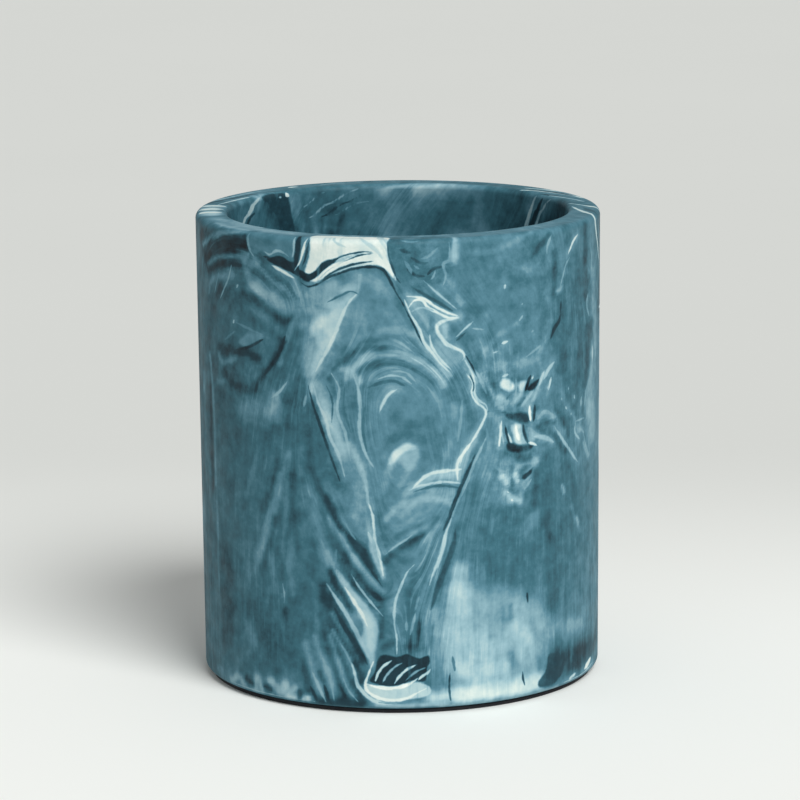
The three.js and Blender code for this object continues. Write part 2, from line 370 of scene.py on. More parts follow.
    (0.25, 2.8, [(35.6, 25), (35, 18.6)]),
    (0.40, 0.7, [(49.3, 25), (49.3, 14)]),
    (0.14, 3.0, [(36.4, 6.4), (44, 6)]),
    (0.15, 2.5, [(43, 6), (51, 6.2)]),
    (0.19, 1.8, [(50, 6), (56, 6.8), (62, 10)]),
    (0.60, 0.7, [(-5, 1.9), (0, 1.7), (9, 1.9)]),
    (0.12, 1.2, [(-17, 1.8), (-12, 2.2), (-8, 2.2)]),
]

# The same, for the sides between front and back, the rim and the inside
RIM_WASHES = [
    # the sides
    (0.23, 3.0, [(58, 8), (65, 14), (70, 24)]),
    (0.27, 5.0, [(70, 22), (76, 34), (74, 50)]),
    (0.46, 2.4, [(78, 6), (82, 22), (80, 34)]),
    (0.42, 3.0, [(68, 92), (74, 84), (76, 74)]),
    (0.22, 4.0, [(58, 92), (62, 84), (60, 76)]),
    (0.40, 3.0, [(-58, 34), (-66, 24), (-70, 10)]),
    (0.19, 3.0, [(-70, 52), (-76, 40), (-80, 22)]),
    # the rim
    # partly the rim's own tone and partly painted light: the top of the rim on the front left is painted
    # paler where it is lit
    (0.50, 2.0, [(-52, 98), (-44, 98.5), (-34, 98.5), (-22, 98.5)]),
    (0.70, 2.4, [(-58, 98), (-64, 98), (-70, 98)]),
    (0.37, 2.6, [(-80, 98), (-90, 98), (-102, 98), (-116, 98)]),
    (0.31, 2.6, [(126, 98), (112, 98), (100, 98)]),
    (0.40, 2.2, [(4, 98.5), (24, 98.5), (44, 98.5)]),
    (0.35, 2.6, [(92, 98), (82, 98), (72, 98)]),
    # the inside
    (0.34, 3.4, [(-78, 106), (-86, 110), (-92, 116)]),
    (0.13, 3.0, [(-93.5, 104), (-97, 108), (-99, 118)]),
    (0.30, 6.0, [(-106, 105), (-118, 106)]),
    (0.13, 5.0, [(74, 105), (80, 109), (84, 118)]),
    (0.24, 7.0, [(98, 104), (112, 107), (124, 112)]),
    (0.38, 1.8, [(107.5, 102), (108, 110), (106, 118)]),
]

# Veins are lines with an edge: tone, half width, path.
VEINS = [
    # the fold left of the collar
    (0.07, 0.62, [(-20.2, 96.4), (-20.3, 93), (-20.7, 90), (-20.4, 87.6)]),
    (0.90, 0.24, [(-18.2, 95.6), (-19.4, 91.6), (-20, 90), (-21.2, 88.3)]),
    (0.14, 0.20, [(-17.7, 95), (-18.6, 91.4), (-19.5, 89)]),
    (0.86, 0.30, [(-26.7, 89), (-24, 88), (-21.2, 86.8)]),
    (0.56, 0.22, [(-28.6, 91.6), (-27, 91), (-25.5, 91.9), (-24, 91.8), (-22.4, 91)]),
    (0.60, 0.22, [(-21.1, 95.6), (-21.3, 92), (-21.8, 90.6)]),
    (0.48, 0.32, [(-32.6, 95.4), (-32.9, 93), (-32.2, 91.2), (-31.2, 90.2)]),
    # thin lines under the collar
    (0.12, 0.13, [(-13.2, 90.5), (-11, 91.7), (-9, 92.3), (-6.8, 92.7), (-4.8, 92.6)]),
    (0.12, 0.13, [(-4.8, 92.4), (-7.4, 92), (-9.9, 91), (-12, 90), (-14.1, 88.7), (-16, 86.9)]),
    (0.90, 0.30, [(-18, 86.4), (-16, 87.2), (-14.8, 88.4), (-13.4, 89.4), (-11, 90.4), (-8, 91.2)]),
    (0.10, 0.25, [(-14.9, 87.2), (-12.2, 88.9), (-9.9, 89.8), (-7.8, 90.4), (-4.8, 90.9)]),
    (0.84, 0.25, [(-17, 85.8), (-14.2, 87.1), (-12.4, 88.2), (-9.9, 89.2), (-7.9, 89.8), (-5.4, 90.2),
                  (-3, 90.2)]),
    (0.10, 0.28, [(-19.9, 86.2), (-18.3, 85.4), (-16.2, 86), (-13.7, 87.5), (-11.2, 88.5), (-9.5, 89.1),
                  (-7, 89.7), (-4.1, 89.7), (-2.8, 89.1), (-2, 87.9), (-1.2, 86.2), (-0.5, 84.8),
                  (0.5, 83.1), (1.4, 81.6)]),
    (0.72, 0.45, [(-7.6, 97), (-6.4, 94.8), (-4.2, 93), (-3, 91.2)]),
    (0.70, 0.30, [(-13, 97), (-12.4, 94.6), (-10, 93.4)]),
    (0.66, 0.20, [(-16.4, 96.4), (-16.2, 93), (-16.8, 90.4)]),
    (0.14, 0.20, [(-2.1, 95), (-1.8, 91.8), (-1, 89.3), (-0.3, 87.5), (0.4, 86.6)]),
    (0.90, 0.22, [(-2.6, 93.4), (-2.3, 91), (-1.5, 88.9), (-0.8, 87.6)]),
    (0.76, 0.34, [(-7.9, 84.6), (-9.5, 83), (-10.7, 81), (-12, 78), (-13, 75.6), (-14.5, 72.7),
                  (-16, 70.2), (-17.2, 68)]),
    (0.28, 0.22, [(-7.8, 84.3), (-9.3, 84.9), (-11.5, 83.9), (-14.2, 82.5)]),
    # arcs and short streaks on the left
    (0.50, 0.20, [(-43, 80.2), (-41, 82.8), (-39.4, 85), (-38.2, 87.8)]),
    (0.40, 0.20, [(-45.5, 81), (-44, 84), (-43, 86)]),
    (0.60, 0.30, [(-36.7, 83.4), (-36.1, 84.2)]),
    (0.64, 0.30, [(-38.2, 76), (-37.6, 76.8)]),
    (0.42, 0.24, [(-37.4, 76.4), (-33, 75.6), (-29.2, 74.8)]),
    (0.38, 0.24, [(-41.4, 72.2), (-37.4, 74.6)]),
    (0.07, 0.30, [(-37.4, 70.8), (-33.8, 71.7), (-29, 74)]),
    (0.08, 0.40, [(-29.2, 66.6), (-27.2, 68.9), (-25.5, 71), (-24.3, 73.4), (-23.5, 75.4)]),
    (0.58, 0.24, [(-27.6, 62.2), (-25.2, 63.9), (-23.2, 66.2)]),
    (0.50, 0.35, [(-19.6, 61.4), (-18.9, 64)]),
    (0.50, 0.18, [(-25.3, 25.2), (-24.9, 22.8), (-25.1, 20.8)]),
    # the whorl in the flame
    (0.62, 0.22, [(-4.2, 67.6), (-2, 68.3), (0.5, 68), (2.4, 66.6)]),
    (0.54, 0.20, [(-2, 69.3), (1.3, 68.9), (3.2, 67)]),
    (0.23, 0.30, [(-6.4, 65.8), (-4, 66.8), (-1.2, 67.3), (1.1, 66.3)]),
    (0.74, 0.28, [(-0.4, 65.6), (-2, 64.7), (-3.2, 62.9), (-4.1, 60.6)]),
    (0.60, 0.34, [(-9.6, 69.6), (-8.3, 66.4), (-7.9, 64), (-7.8, 61.5), (-8, 58.2), (-7.6, 55.3),
                  (-6.6, 52.3), (-5.2, 50)]),
    (0.28, 0.28, [(-6.9, 62), (-7.2, 57.3), (-6.5, 53)]),
    (0.48, 0.32, [(12.5, 63), (12.1, 58.4), (11.5, 54.6)]),
    (0.42, 0.22, [(-5.4, 63.4), (-5.8, 59), (-5.2, 54.6)]),
    (0.50, 0.22, [(5.2, 66.4), (7.4, 63.2), (8.4, 59.6)]),
    # speckles in the dark patch right of the collar
    (0.16, 0.34, [(5.6, 88), (7, 89.3), (8.8, 89.6)]),
    (0.17, 0.30, [(1.6, 89.4), (3.4, 88), (5.2, 87.8)]),
    (0.20, 0.28, [(2.4, 91.6), (4.4, 90.4), (6, 90.6)]),
    (0.50, 0.20, [(6.2, 87), (7, 88), (7.2, 89)]),
    (0.48, 0.18, [(3, 90), (4.2, 89.2)]),
    (0.46, 0.30, [(1.2, 91), (2.2, 89.4), (2.6, 88.2)]),
    (0.44, 0.26, [(0.4, 95.4), (2.6, 94.8), (4.4, 95.2)]),
    (0.42, 0.34, [(4.2, 91.2), (6, 91.8), (7.8, 93.4)]),
    (0.20, 0.34, [(0.2, 93.2), (2.4, 92.4)]),
    # a thread among the blotches
    (0.62, 0.22, [(20.3, 58), (21, 55.6), (21.5, 53.2)]),
    # arcs low in the flame
    (0.82, 0.36, [(2.4, 45.7), (3, 46.4), (4.4, 47.7), (6.1, 48.7), (8.5, 49), (12.4, 49.2)]),
    (0.72, 0.24, [(1.6, 45.3), (3.4, 46.2), (5.2, 46.5), (8.5, 46.9), (12.6, 46.3)]),
    (0.26, 0.22, [(2.4, 45), (5.5, 45.9), (8.5, 46.1), (12.2, 45.4)]),
    (0.58, 0.24, [(-3.3, 32.4), (-1.2, 34.1), (0.8, 35.4), (2.4, 36.6)]),
    # left seam and the streaks that run down to the point
    (0.68, 0.32, [(-17.4, 66), (-16.4, 62.4), (-14.9, 59.4), (-14, 55.8), (-12.2, 52), (-11, 47.8)]),
    (0.10, 0.30, [(-18.6, 66), (-17.5, 62), (-16.1, 58), (-14.8, 54.4), (-13.4, 50.6), (-12, 46.8)]),
    (0.58, 0.26, [(-13.6, 68.6), (-12, 65.6), (-12.4, 61), (-10.8, 56.6), (-9.8, 51)]),
    (0.26, 0.20, [(-14.6, 66), (-13.4, 63), (-13.6, 58.6)]),
    (0.28, 0.18, [(-10.8, 66), (-11, 61.6), (-9.6, 56.6)]),
    (0.58, 0.28, [(-7.3, 50), (-6.7, 46), (-6.4, 43), (-5.6, 40.6)]),
    (0.80, 0.24, [(-6.4, 43), (-5.6, 40.6), (-5.3, 38), (-5.1, 35.6), (-4.7, 33.4)]),
    (0.84, 0.26, [(-5.1, 36), (-4.6, 33.6), (-4, 31), (-3.5, 28)]),
    (0.66, 0.24, [(-6.5, 37.2), (-6.1, 36), (-5.8, 34.8)]),
    (0.44, 0.20, [(-11.4, 39.6), (-10.4, 37.4), (-8.8, 35.2)]),
    (0.12, 0.22, [(-7.4, 31.6), (-5.6, 28.8), (-3.7, 26)]),
    (0.08, 0.50, [(-6, 24.9), (-4.9, 24), (-3.8, 23.4)]),
    (0.60, 0.22, [(-10, 28.4), (-8.3, 25.7), (-6.2, 23), (-3.6, 20)]),
    (0.84, 0.34, [(-11.4, 25.8), (-9.6, 23), (-7.9, 20.4), (-6.8, 17.8)]),
    (0.64, 0.46, [(-15.2, 26.2), (-12.8, 22.7), (-10.6, 19.4), (-8.6, 15.6), (-6.2, 11)]),
    (0.11, 0.45, [(-13.6, 21.4), (-11.2, 17), (-8.7, 13.3), (-6.8, 10)]),
    (0.58, 0.30, [(-18.6, 7.8), (-17.1, 4.6), (-15.6, 1.8)]),
    (0.50, 0.24, [(-12.6, 14.4), (-11.2, 12.2), (-10, 9.6)]),
    (0.50, 0.20, [(-12, 7.2), (-10.8, 4.6), (-8.8, 2.3)]),
    (0.50, 0.24, [(-16.4, 11), (-14.8, 7), (-13.9, 2.2)]),
    (0.09, 0.30, [(-16.1, 5.6), (-15, 2)]),
    (0.09, 0.34, [(-19.2, 5), (-17.6, 1.9)]),
    (0.10, 0.26, [(-12.6, 5.4), (-11.2, 2.6)]),
    (0.68, 0.22, [(2.8, 30.6), (1.3, 29.1), (0.1, 26.6), (-1, 23.7), (-1.4, 21.2), (-1.4, 18.3),
                  (-1, 15.3), (-1, 12)]),
    (0.56, 0.24, [(2.8, 20.8), (1.7, 16.2)]),
    (0.50, 0.24, [(0.9, 19), (1, 17)]),
    (0.46, 0.26, [(3.6, 24.2), (2.5, 20.8)]),
    (0.18, 0.60, [(11, 37.4), (10.6, 34.2), (9.4, 31), (8.2, 28), (6.9, 24.5), (5.8, 21)]),
    (0.74, 0.38, [(-10.2, 10.6), (-9.6, 8.4), (-8.9, 5.8), (-7.2, 3.8), (-5.2, 2.6), (-1.6, 2)]),
    # right seam
    (0.80, 0.30, [(1.1, 83.4), (2.2, 80.6), (3.4, 78.5), (4.3, 76.8), (4.7, 75.2), (5.5, 73.9),
                  (6.8, 72.3), (8, 70.6), (9.9, 68.7)]),
    (0.11, 0.20, [(0.5, 83), (3, 78.1), (4.8, 74)]),
    (0.78, 0.24, [(6, 76.4), (6.3, 74.3), (7.2, 72.7), (8.4, 71), (10.3, 69.1)]),
    (0.88, 0.28, [(1.5, 84), (4.7, 83.5), (7.2, 81.8), (9.7, 80.4), (11.8, 79.7)]),
    (0.88, 0.28, [(1.8, 81.5), (3, 83.1), (4.7, 83.1), (5.5, 81.8), (7.2, 80.8), (9.7, 79.5),
                  (12, 79.5)]),
    (0.62, 0.24, [(2.4, 80.8), (3.8, 81.6), (5.1, 81.6), (7, 80.9)]),
    (0.82, 0.38, [(12.1, 79.3), (9.7, 79.1), (8, 78.5), (7.4, 77.7), (7.8, 76.4), (8.6, 75.2),
                  (9.3, 74.3), (10.9, 73.5), (12.6, 72.5), (13, 71.4), (12.4, 70.8)]),
    (0.64, 0.22, [(4.9, 87), (7.6, 84.4), (11.5, 81)]),
    (0.20, 0.36, [(2.8, 85.6), (7, 83), (10.7, 80.7)]),
    (0.50, 0.26, [(10, 94.5), (10.1, 90.8), (8.7, 90.2), (9.3, 87.7), (8.7, 85.8)]),
    (0.74, 0.28, [(12.9, 71.2), (14.2, 68.9), (14.9, 67.3), (15.1, 64), (16, 62.6), (17.5, 61.6),
                  (17.9, 60.3)]),
    (0.82, 0.24, [(13.2, 68.4), (14.6, 66.4), (14.5, 64), (15.5, 62.3), (17, 61.1), (17.6, 60),
                  (16.8, 58.2), (15.5, 56.1), (13.8, 53.6), (12.6, 51.9), (11.8, 49.6)]),
    (0.14, 0.20, [(13.2, 71.8), (14.7, 69.3), (16, 66.6)]),
    (0.14, 0.16, [(13.9, 68.4), (14.9, 66), (14.7, 64.2)]),
    (0.52, 0.35, [(15, 69.1), (16.7, 66), (17.7, 63.7)]),
    (0.70, 0.20, [(11.1, 75.4), (13, 77), (14.9, 78.5)]),
    (0.18, 0.24, [(11.3, 74.8), (13.4, 76.5)]),
    (0.56, 0.20, [(14.5, 77.1), (17.3, 76.6)]),
    (0.86, 0.34, [(14.4, 54.6), (13, 52.8), (11.8, 51.2), (11.3, 49.6), (11.5, 47)]),
    (0.55, 0.32, [(17.7, 55.4), (16.3, 52.8), (14.7, 49.8), (13.4, 46.5), (12.1, 43.6)]),
    (0.12, 0.46, [(15.2, 52), (14, 49.6), (12.9, 47.1), (11.2, 43.4), (10.1, 40.6), (9.3, 38.8),
                  (8.4, 36.8)]),
    (0.48, 0.22, [(15.4, 50.6), (13.8, 47.6), (12.3, 44.4), (10.8, 41.2), (10, 39)]),
    (0.72, 0.36, [(10.2, 39.6), (9.6, 38), (8.9, 36.2), (8.4, 33.6), (7.4, 30.8), (6.4, 28.6),
                  (5.6, 26.2)]),
    (0.46, 0.45, [(17.6, 57), (18.6, 51), (19.9, 48.8), (21.9, 47.4)]),
    # marks on the upper right
    (0.52, 0.30, [(32.5, 89.8), (32.7, 91.7), (33.9, 93.7)]),
    (0.84, 0.28, [(39.3, 89), (40.3, 90.3), (41.7, 91.7), (43.4, 92.6)]),
    (0.52, 0.22, [(36.4, 82.5), (37.4, 84.6), (38.6, 87.1), (40, 88.4)]),
    (0.10, 0.45, [(33.6, 72.9), (34.7, 74.7), (36.2, 76), (36.8, 77.6)]),
    (0.14, 0.20, [(36.6, 77), (37, 80.2)]),
    (0.82, 0.34, [(21.7, 84.2), (21.9, 85.2)]),
    (0.60, 0.24, [(25.5, 80.8), (26.1, 80.9)]),
    (0.56, 0.20, [(25.1, 77.5), (26.2, 78.7)]),
    (0.76, 0.22, [(21, 73.5), (22.5, 73.8)]),
    (0.66, 0.20, [(19.1, 71.8), (20.3, 72.1)]),
    (0.50, 0.24, [(28.2, 74.9), (29, 75.4)]),
    (0.52, 0.26, [(26.7, 70.1), (31, 72.1)]),
    # the blotches at the right, the flecks round them and the border of the pale band
    (0.08, 0.42, [(26.7, 63.4), (27.4, 65), (28.1, 66.4)]),
    (0.06, 0.62, [(27.2, 63.6), (28.8, 64.2), (30.4, 65.3)]),
    (0.82, 0.24, [(28.3, 65.4), (28.9, 66.2)]),
    (0.50, 0.22, [(24.3, 66.6), (24.5, 64.4), (24.2, 62.4)]),
    (0.70, 0.34, [(30.3, 63.8), (31, 65.4), (31.9, 66.8)]),
    (0.66, 0.42, [(34.9, 68.2), (33, 66.8), (31.6, 65)]),
    (0.78, 0.28, [(33.9, 65.4), (33.5, 64), (33, 62.6)]),
    (0.66, 0.28, [(21.2, 66.9), (22.6, 67.2)]),
    (0.95, 0.34, [(27.8, 60.3), (27.9, 58.6), (28.2, 57)]),
    (0.86, 0.30, [(21, 58.2), (20.7, 55.6), (20.4, 53)]),
    (0.82, 0.36, [(22, 55.8), (22.8, 54.4), (23.4, 53.4)]),
    (0.92, 0.40, [(24.3, 56.9), (24.6, 55.2), (25.2, 53.6)]),
    (0.07, 0.32, [(29.2, 60.4), (29.1, 58.4), (28.7, 56.8)]),
    (0.10, 0.36, [(26.1, 57), (26.5, 54.8), (27.4, 52.8)]),
    (0.10, 0.26, [(21.7, 57.4), (22.2, 55.2), (22.9, 52.8)]),
    (0.92, 0.34, [(27.5, 52.9), (28.6, 52.6), (29.8, 52)]),
    (0.64, 0.42, [(28.8, 53.9), (31.2, 53.6), (33.4, 52.7), (34.7, 51.9)]),
    (0.56, 0.38, [(29.8, 57.2), (32, 58.5), (34.6, 57.4)]),
    (0.62, 0.36, [(34.7, 55.3), (36.4, 53.3), (38.6, 51), (40.8, 48.8), (42.1, 47.5), (43.8, 46.2)]),
    (0.58, 0.28, [(42, 54.2), (42.5, 52.3), (44.5, 50.8)]),
    (0.54, 0.22, [(42.3, 54.8), (46.7, 54.8)]),
    (0.50, 0.26, [(44.1, 53.2), (46.6, 51.7)]),
    (0.46, 0.34, [(49.6, 90), (50.6, 86.4), (50.4, 81)]),
    (0.50, 0.40, [(48.4, 80), (47.8, 77.6), (49.2, 75)]),
    (0.70, 0.34, [(51.4, 68.8), (51.8, 66.9), (51.5, 65)]),
    (0.50, 0.42, [(51, 64.2), (49.4, 61.8), (47.4, 59.7), (46.6, 57)]),
    (0.56, 0.30, [(45.2, 59.6), (44.9, 57.4)]),
    (0.52, 0.30, [(46, 52.4), (47.4, 49.2), (49.6, 46)]),
    (0.48, 0.26, [(49, 51.8), (49.3, 48.9), (50.3, 46)]),
    (0.66, 0.26, [(38.6, 58.6), (39, 57.9)]),
    (0.52, 0.22, [(37.2, 60.7), (37.4, 59.9)]),
    (0.52, 0.22, [(39.6, 62.3), (39.8, 61.6)]),
    (0.60, 0.24, [(41.9, 60.3), (42.1, 59.5)]),
    (0.52, 0.22, [(40.4, 56.7), (41.2, 56.5)]),
    (0.62, 0.24, [(32.8, 63.4), (33.2, 62.7)]),
    (0.52, 0.30, [(28.4, 45.5), (26.2, 43.4)]),
    (0.86, 0.24, [(22.2, 43.7), (22.8, 43.4)]),
    (0.86, 0.24, [(23.1, 41.9), (23.8, 41.7)]),
    # dark slits in the pale fan
    (0.08, 0.20, [(9.7, 8.5), (9.5, 5.3), (9.8, 2.3)]),
    (0.30, 0.30, [(10.2, 11.6), (10.7, 8.4)]),
    (0.10, 0.24, [(26, 6.6), (26.1, 5), (26.6, 3.4)]),
    (0.12, 0.22, [(27.1, 22.6), (27.4, 20.3)]),
    # pale spots and lines along the foot
    (0.94, 0.60, [(47.2, 2.5), (49.4, 3.2), (51.6, 4)]),
    (0.78, 0.34, [(40.2, 2.1), (43.1, 2.7)]),
    (0.72, 0.14, [(38, 1.8), (46, 1.8), (53, 2.6)]),
    (0.60, 0.12, [(-41, 1.9), (-30, 1.75), (-18, 1.75)]),
]

# The same, for the rim, the sides just beyond the front, and the inside
RIM_VEINS = [
    (0.95, 0.60, [(-59.5, 95.4), (-61.2, 97.5), (-60.4, 100.4)]),
    (0.92, 0.50, [(-63.8, 95.2), (-66, 98), (-64.8, 101)]),
    (0.88, 0.50, [(-69, 95.2), (-71, 98), (-69.5, 101)]),
    (0.10, 0.32, [(-61.8, 94.8), (-63.8, 98), (-62.6, 101)]),
    (0.12, 0.32, [(-66.6, 94.8), (-68.6, 98), (-67.2, 101)]),
    (0.14, 0.35, [(-72.6, 95), (-77, 97), (-84, 98.8), (-92, 99.2)]),
    (0.74, 0.35, [(-72, 98.4), (-78, 99.8), (-87, 100.8)]),
    (0.62, 0.30, [(-76, 95.8), (-84, 97.2), (-95, 97.6)]),
    (0.85, 0.55, [(-102, 98.2), (-103.6, 97.8), (-105, 98.2)]),
    (0.55, 0.30, [(-108, 99), (-114, 98), (-121, 98.6)]),
    (0.86, 0.42, [(70.5, 101.4), (67.4, 99), (64.4, 96.8), (62.8, 94.4), (62.9, 90), (64.8, 84),
                  (64.8, 80)]),
    (0.84, 0.45, [(65.4, 100.8), (60, 99.4), (55.4, 97), (53.4, 94.6), (54.2, 91.8), (56.6, 87.8),
                  (58.6, 84.4)]),
    (0.60, 0.26, [(67.6, 95.4), (66, 92), (66.6, 87), (68.6, 80), (68, 72)]),
    (0.56, 0.24, [(58.4, 94.6), (57.6, 92), (60, 87), (62.6, 80)]),
    (0.12, 0.30, [(61, 94.6), (59.6, 91), (61.6, 86), (63.4, 79), (63, 72)]),
    (0.22, 0.60, [(63, 98.4), (58.6, 96.8), (56.4, 94.8)]),
    (0.86, 0.60, [(95.6, 101), (90, 98.8), (84, 97.4), (76, 96)]),
    (0.82, 0.40, [(97, 98.5), (91, 96.8), (85, 95.6)]),
    (0.10, 0.42, [(94.6, 99.8), (88, 98), (79, 96.6)]),
    (0.14, 0.50, [(88, 101.2), (80, 99.6), (72.4, 98.2)]),
    (0.62, 0.40, [(84, 101), (77, 99), (71.4, 97.2)]),
    (0.70, 0.60, [(88.5, 101.8), (91.6, 107), (94, 113), (95, 120)]),
    (0.62, 0.45, [(81.5, 101.8), (86.6, 105.5), (90.4, 112), (91.6, 119)]),
    (0.08, 0.70, [(85.4, 102), (89.4, 107), (92.4, 114)]),
    (0.72, 0.72, [(-89.2, 101.7), (-85.5, 103.6), (-82, 105.5), (-79, 107.4)]),
    (0.14, 0.55, [(-88, 104), (-84, 106), (-80.6, 108)]),
    (0.92, 0.55, [(-98.6, 101.6), (-99.1, 103.2)]),
    (0.62, 0.45, [(-96, 102.6), (-97.2, 103)]),
    (0.50, 0.40, [(-103.5, 109), (-110, 105.6), (-119, 102.2)]),
    (0.13, 0.42, [(-106, 109.4), (-113, 106.2), (-121, 103.2)]),
    (0.46, 0.30, [(-101.5, 107.4), (-105, 104.8), (-110, 102.6)]),
    (0.44, 0.35, [(-112, 108), (-117, 106), (-122, 105)]),
]

# Pools are closed patches: tone, softness of the edge, outline. The last one lies inside the cup.
POOLS = [
    (0.36, 0.40, [(-32.6, 95.8), (-32.9, 93), (-32.2, 91.2), (-31, 90.5), (-29, 91.5), (-27, 91),
                  (-25.5, 91.8), (-24, 91.8), (-22.4, 90.9), (-21.4, 92), (-21.1, 95.8)]),
    (0.70, 0.80, [(-8, 84.4), (-9.5, 83), (-10.7, 81), (-12, 78), (-13, 75.6), (-14.5, 72.7),
                  (-16, 70.2), (-17.4, 67.6), (-17.2, 70.4), (-15.8, 74), (-15, 77), (-13.6, 80.4),
                  (-11.6, 83.2)]),
    (0.31, 0.32, [(-2, 98), (9.9, 98), (10.1, 92), (8.8, 90.4), (9, 87.8), (7.4, 86), (4, 87.2),
                  (0.4, 86.6), (-1.2, 91)]),
    (0.91, 0.25, [(-17.5, 98), (-17.6, 93), (-18.2, 90), (-18.9, 88.5), (-17.8, 86.6), (-16, 86.6),
                  (-13.7, 88), (-11.2, 89), (-9.5, 89.6), (-7, 90.1), (-4.1, 90.1), (-2.6, 89.4),
                  (-1.4, 88), (-0.3, 87.1), (-1, 89.3), (-1.8, 91.8), (-2.1, 94.3), (-2.3, 98),
                  (-10, 98.6)]),
    (0.05, 0.20, [(-28.8, 90.7), (-27, 90.4), (-25.5, 90.9), (-24, 90.9), (-22.5, 90.2), (-21.2, 90),
                  (-20.6, 91), (-20, 88.6), (-18.8, 86.4), (-21.2, 87.7), (-24, 88.6),
                  (-26.6, 89.4)]),
    (0.60, 0.25, [(-13, 90.4), (-11, 91.4), (-9, 92.1), (-6.2, 92.3), (-9.6, 91.3), (-11.6, 90.3)]),
    (0.04, 0.20, [(-19.8, 88.6), (-18.6, 88), (-17.4, 88), (-16.2, 89.2), (-14.6, 90.6), (-12.9, 91.1),
                  (-11.9, 91.3), (-12.6, 90.4), (-13.6, 89.6), (-14.8, 88.6), (-16.2, 87.4),
                  (-17.6, 86.4), (-18.6, 86.3), (-19.6, 86.9), (-20.2, 87.7)]),
    (0.57, 0.60, [(-2.4, 50.2), (-1.8, 52.4), (-0.7, 53.8), (0.6, 54.7), (2, 54.9), (3.5, 54),
                  (3.9, 52.2), (3.3, 50.8), (2.2, 49.6), (1.2, 49.6), (0.4, 50.6), (-0.6, 51),
                  (-1.6, 49.8)]),
    (0.84, 0.45, [(-2.1, 50.9), (-1.6, 52.6), (-0.5, 53.9), (0.8, 54.6), (2.2, 54.7), (3.1, 53.9),
                  (1.6, 53.4), (0.4, 52.7), (-0.6, 51.7), (-1.4, 50.7)]),
    (0.07, 0.75, [(-15.6, 44), (-14.6, 44.2), (-13, 41.8), (-12.4, 40), (-11.4, 38), (-9.8, 36.4),
                  (-8.2, 35.2), (-6.8, 33.8), (-5.6, 30.8), (-4.8, 28.6), (-3.6, 25.9), (-4.6, 27),
                  (-6.2, 29), (-8, 31.4), (-9.8, 33.6), (-11.2, 36), (-12.8, 37.6), (-13.6, 39),
                  (-14.6, 41), (-15.6, 42.6)]),
    (0.64, 0.45, [(-6.3, 34.6), (-5.2, 36.6), (-4.7, 34), (-3.9, 31.5), (-3.2, 29), (-3.5, 27.4),
                  (-4.3, 29), (-5.5, 31.6)]),
    (0.63, 0.45, [(-13.4, 29.4), (-12.7, 27.4), (-11, 24.9), (-9.3, 22.2), (-7.9, 19.7), (-7.5, 17),
                  (-8.7, 15.2), (-7.9, 13.4), (-6.8, 11.2), (-5.9, 9.4), (-5.4, 12.4), (-4.9, 15.2),
                  (-4.6, 17.7), (-5.4, 19.9), (-7.1, 22.4), (-9.3, 24.8), (-11.6, 27.7)]),
    (0.72, 0.70, [(-6.3, 12.6), (-7.1, 16), (-7.3, 18.2), (-8.6, 20.6), (-7.4, 21), (-6, 19.6),
                  (-5.3, 17.8), (-5.4, 15)]),
    (0.57, 0.50, [(14.2, 54.2), (12.6, 53), (11.2, 51), (11, 48.8), (11.6, 46.2), (12.6, 48.4),
                  (13.6, 50.8)]),
    (0.44, 0.45, [(-36.4, 72.3), (-35, 73.7), (-33, 74.8), (-30.8, 75), (-29, 74.5), (-31, 73.2),
                  (-33.6, 72)]),
    (0.53, 0.45, [(6.8, 75.2), (8.4, 74.9), (10, 73.6), (12.3, 72.4), (12.2, 70.8), (10.2, 69.8),
                  (8.6, 71.2), (7.4, 73)]),
    (0.86, 0.45, [(20.6, 65.2), (21.2, 66.4), (22.4, 66.3), (23.6, 65.5), (24, 64.2), (22.8, 63.8),
                  (21.4, 64.4)]),
    (0.80, 0.45, [(24.8, 65), (26.2, 65.5), (27.1, 65.3), (26.4, 63.8), (25.6, 63.3)]),
    (0.74, 0.40, [(23.3, 56.9), (25.6, 56.8), (26, 55), (27, 52.8), (24.6, 53), (23.9, 54.6)]),
    (0.52, 0.34, [(26.8, 55.8), (28.6, 55.6), (28.9, 53), (27.6, 52.7)]),
    (0.11, 0.40, [(21.3, 59.9), (23, 59.4), (25, 59.3), (27.2, 58.8), (27.8, 57.1), (26, 57.1),
                  (24, 57.7), (22.4, 58.5)]),
    (0.08, 0.38, [(22.1, 53.5), (23.2, 53.3), (24.7, 52.9), (26.9, 52.5), (28.4, 52.6), (29, 52),
                  (27.3, 51.4), (24.3, 51.4), (22.5, 52)]),
    (0.08, 0.22, [(25.5, 46.3), (26.9, 46.8), (28.8, 47.7), (28.1, 46.5), (26.4, 45.6)]),
    (0.14, 0.30, [(33.4, 8.8), (32.9, 7), (32.3, 5.3), (31.2, 4.5), (30.1, 3.4), (30.7, 2.4),
                  (34.6, 2.2), (38, 4.4), (37.4, 7.6)]),
    (0.13, 0.40, [(-90, 101.7), (-92.5, 104.4), (-96, 108), (-99, 113), (-101.4, 113), (-100, 106),
                  (-98, 101.7)]),
]

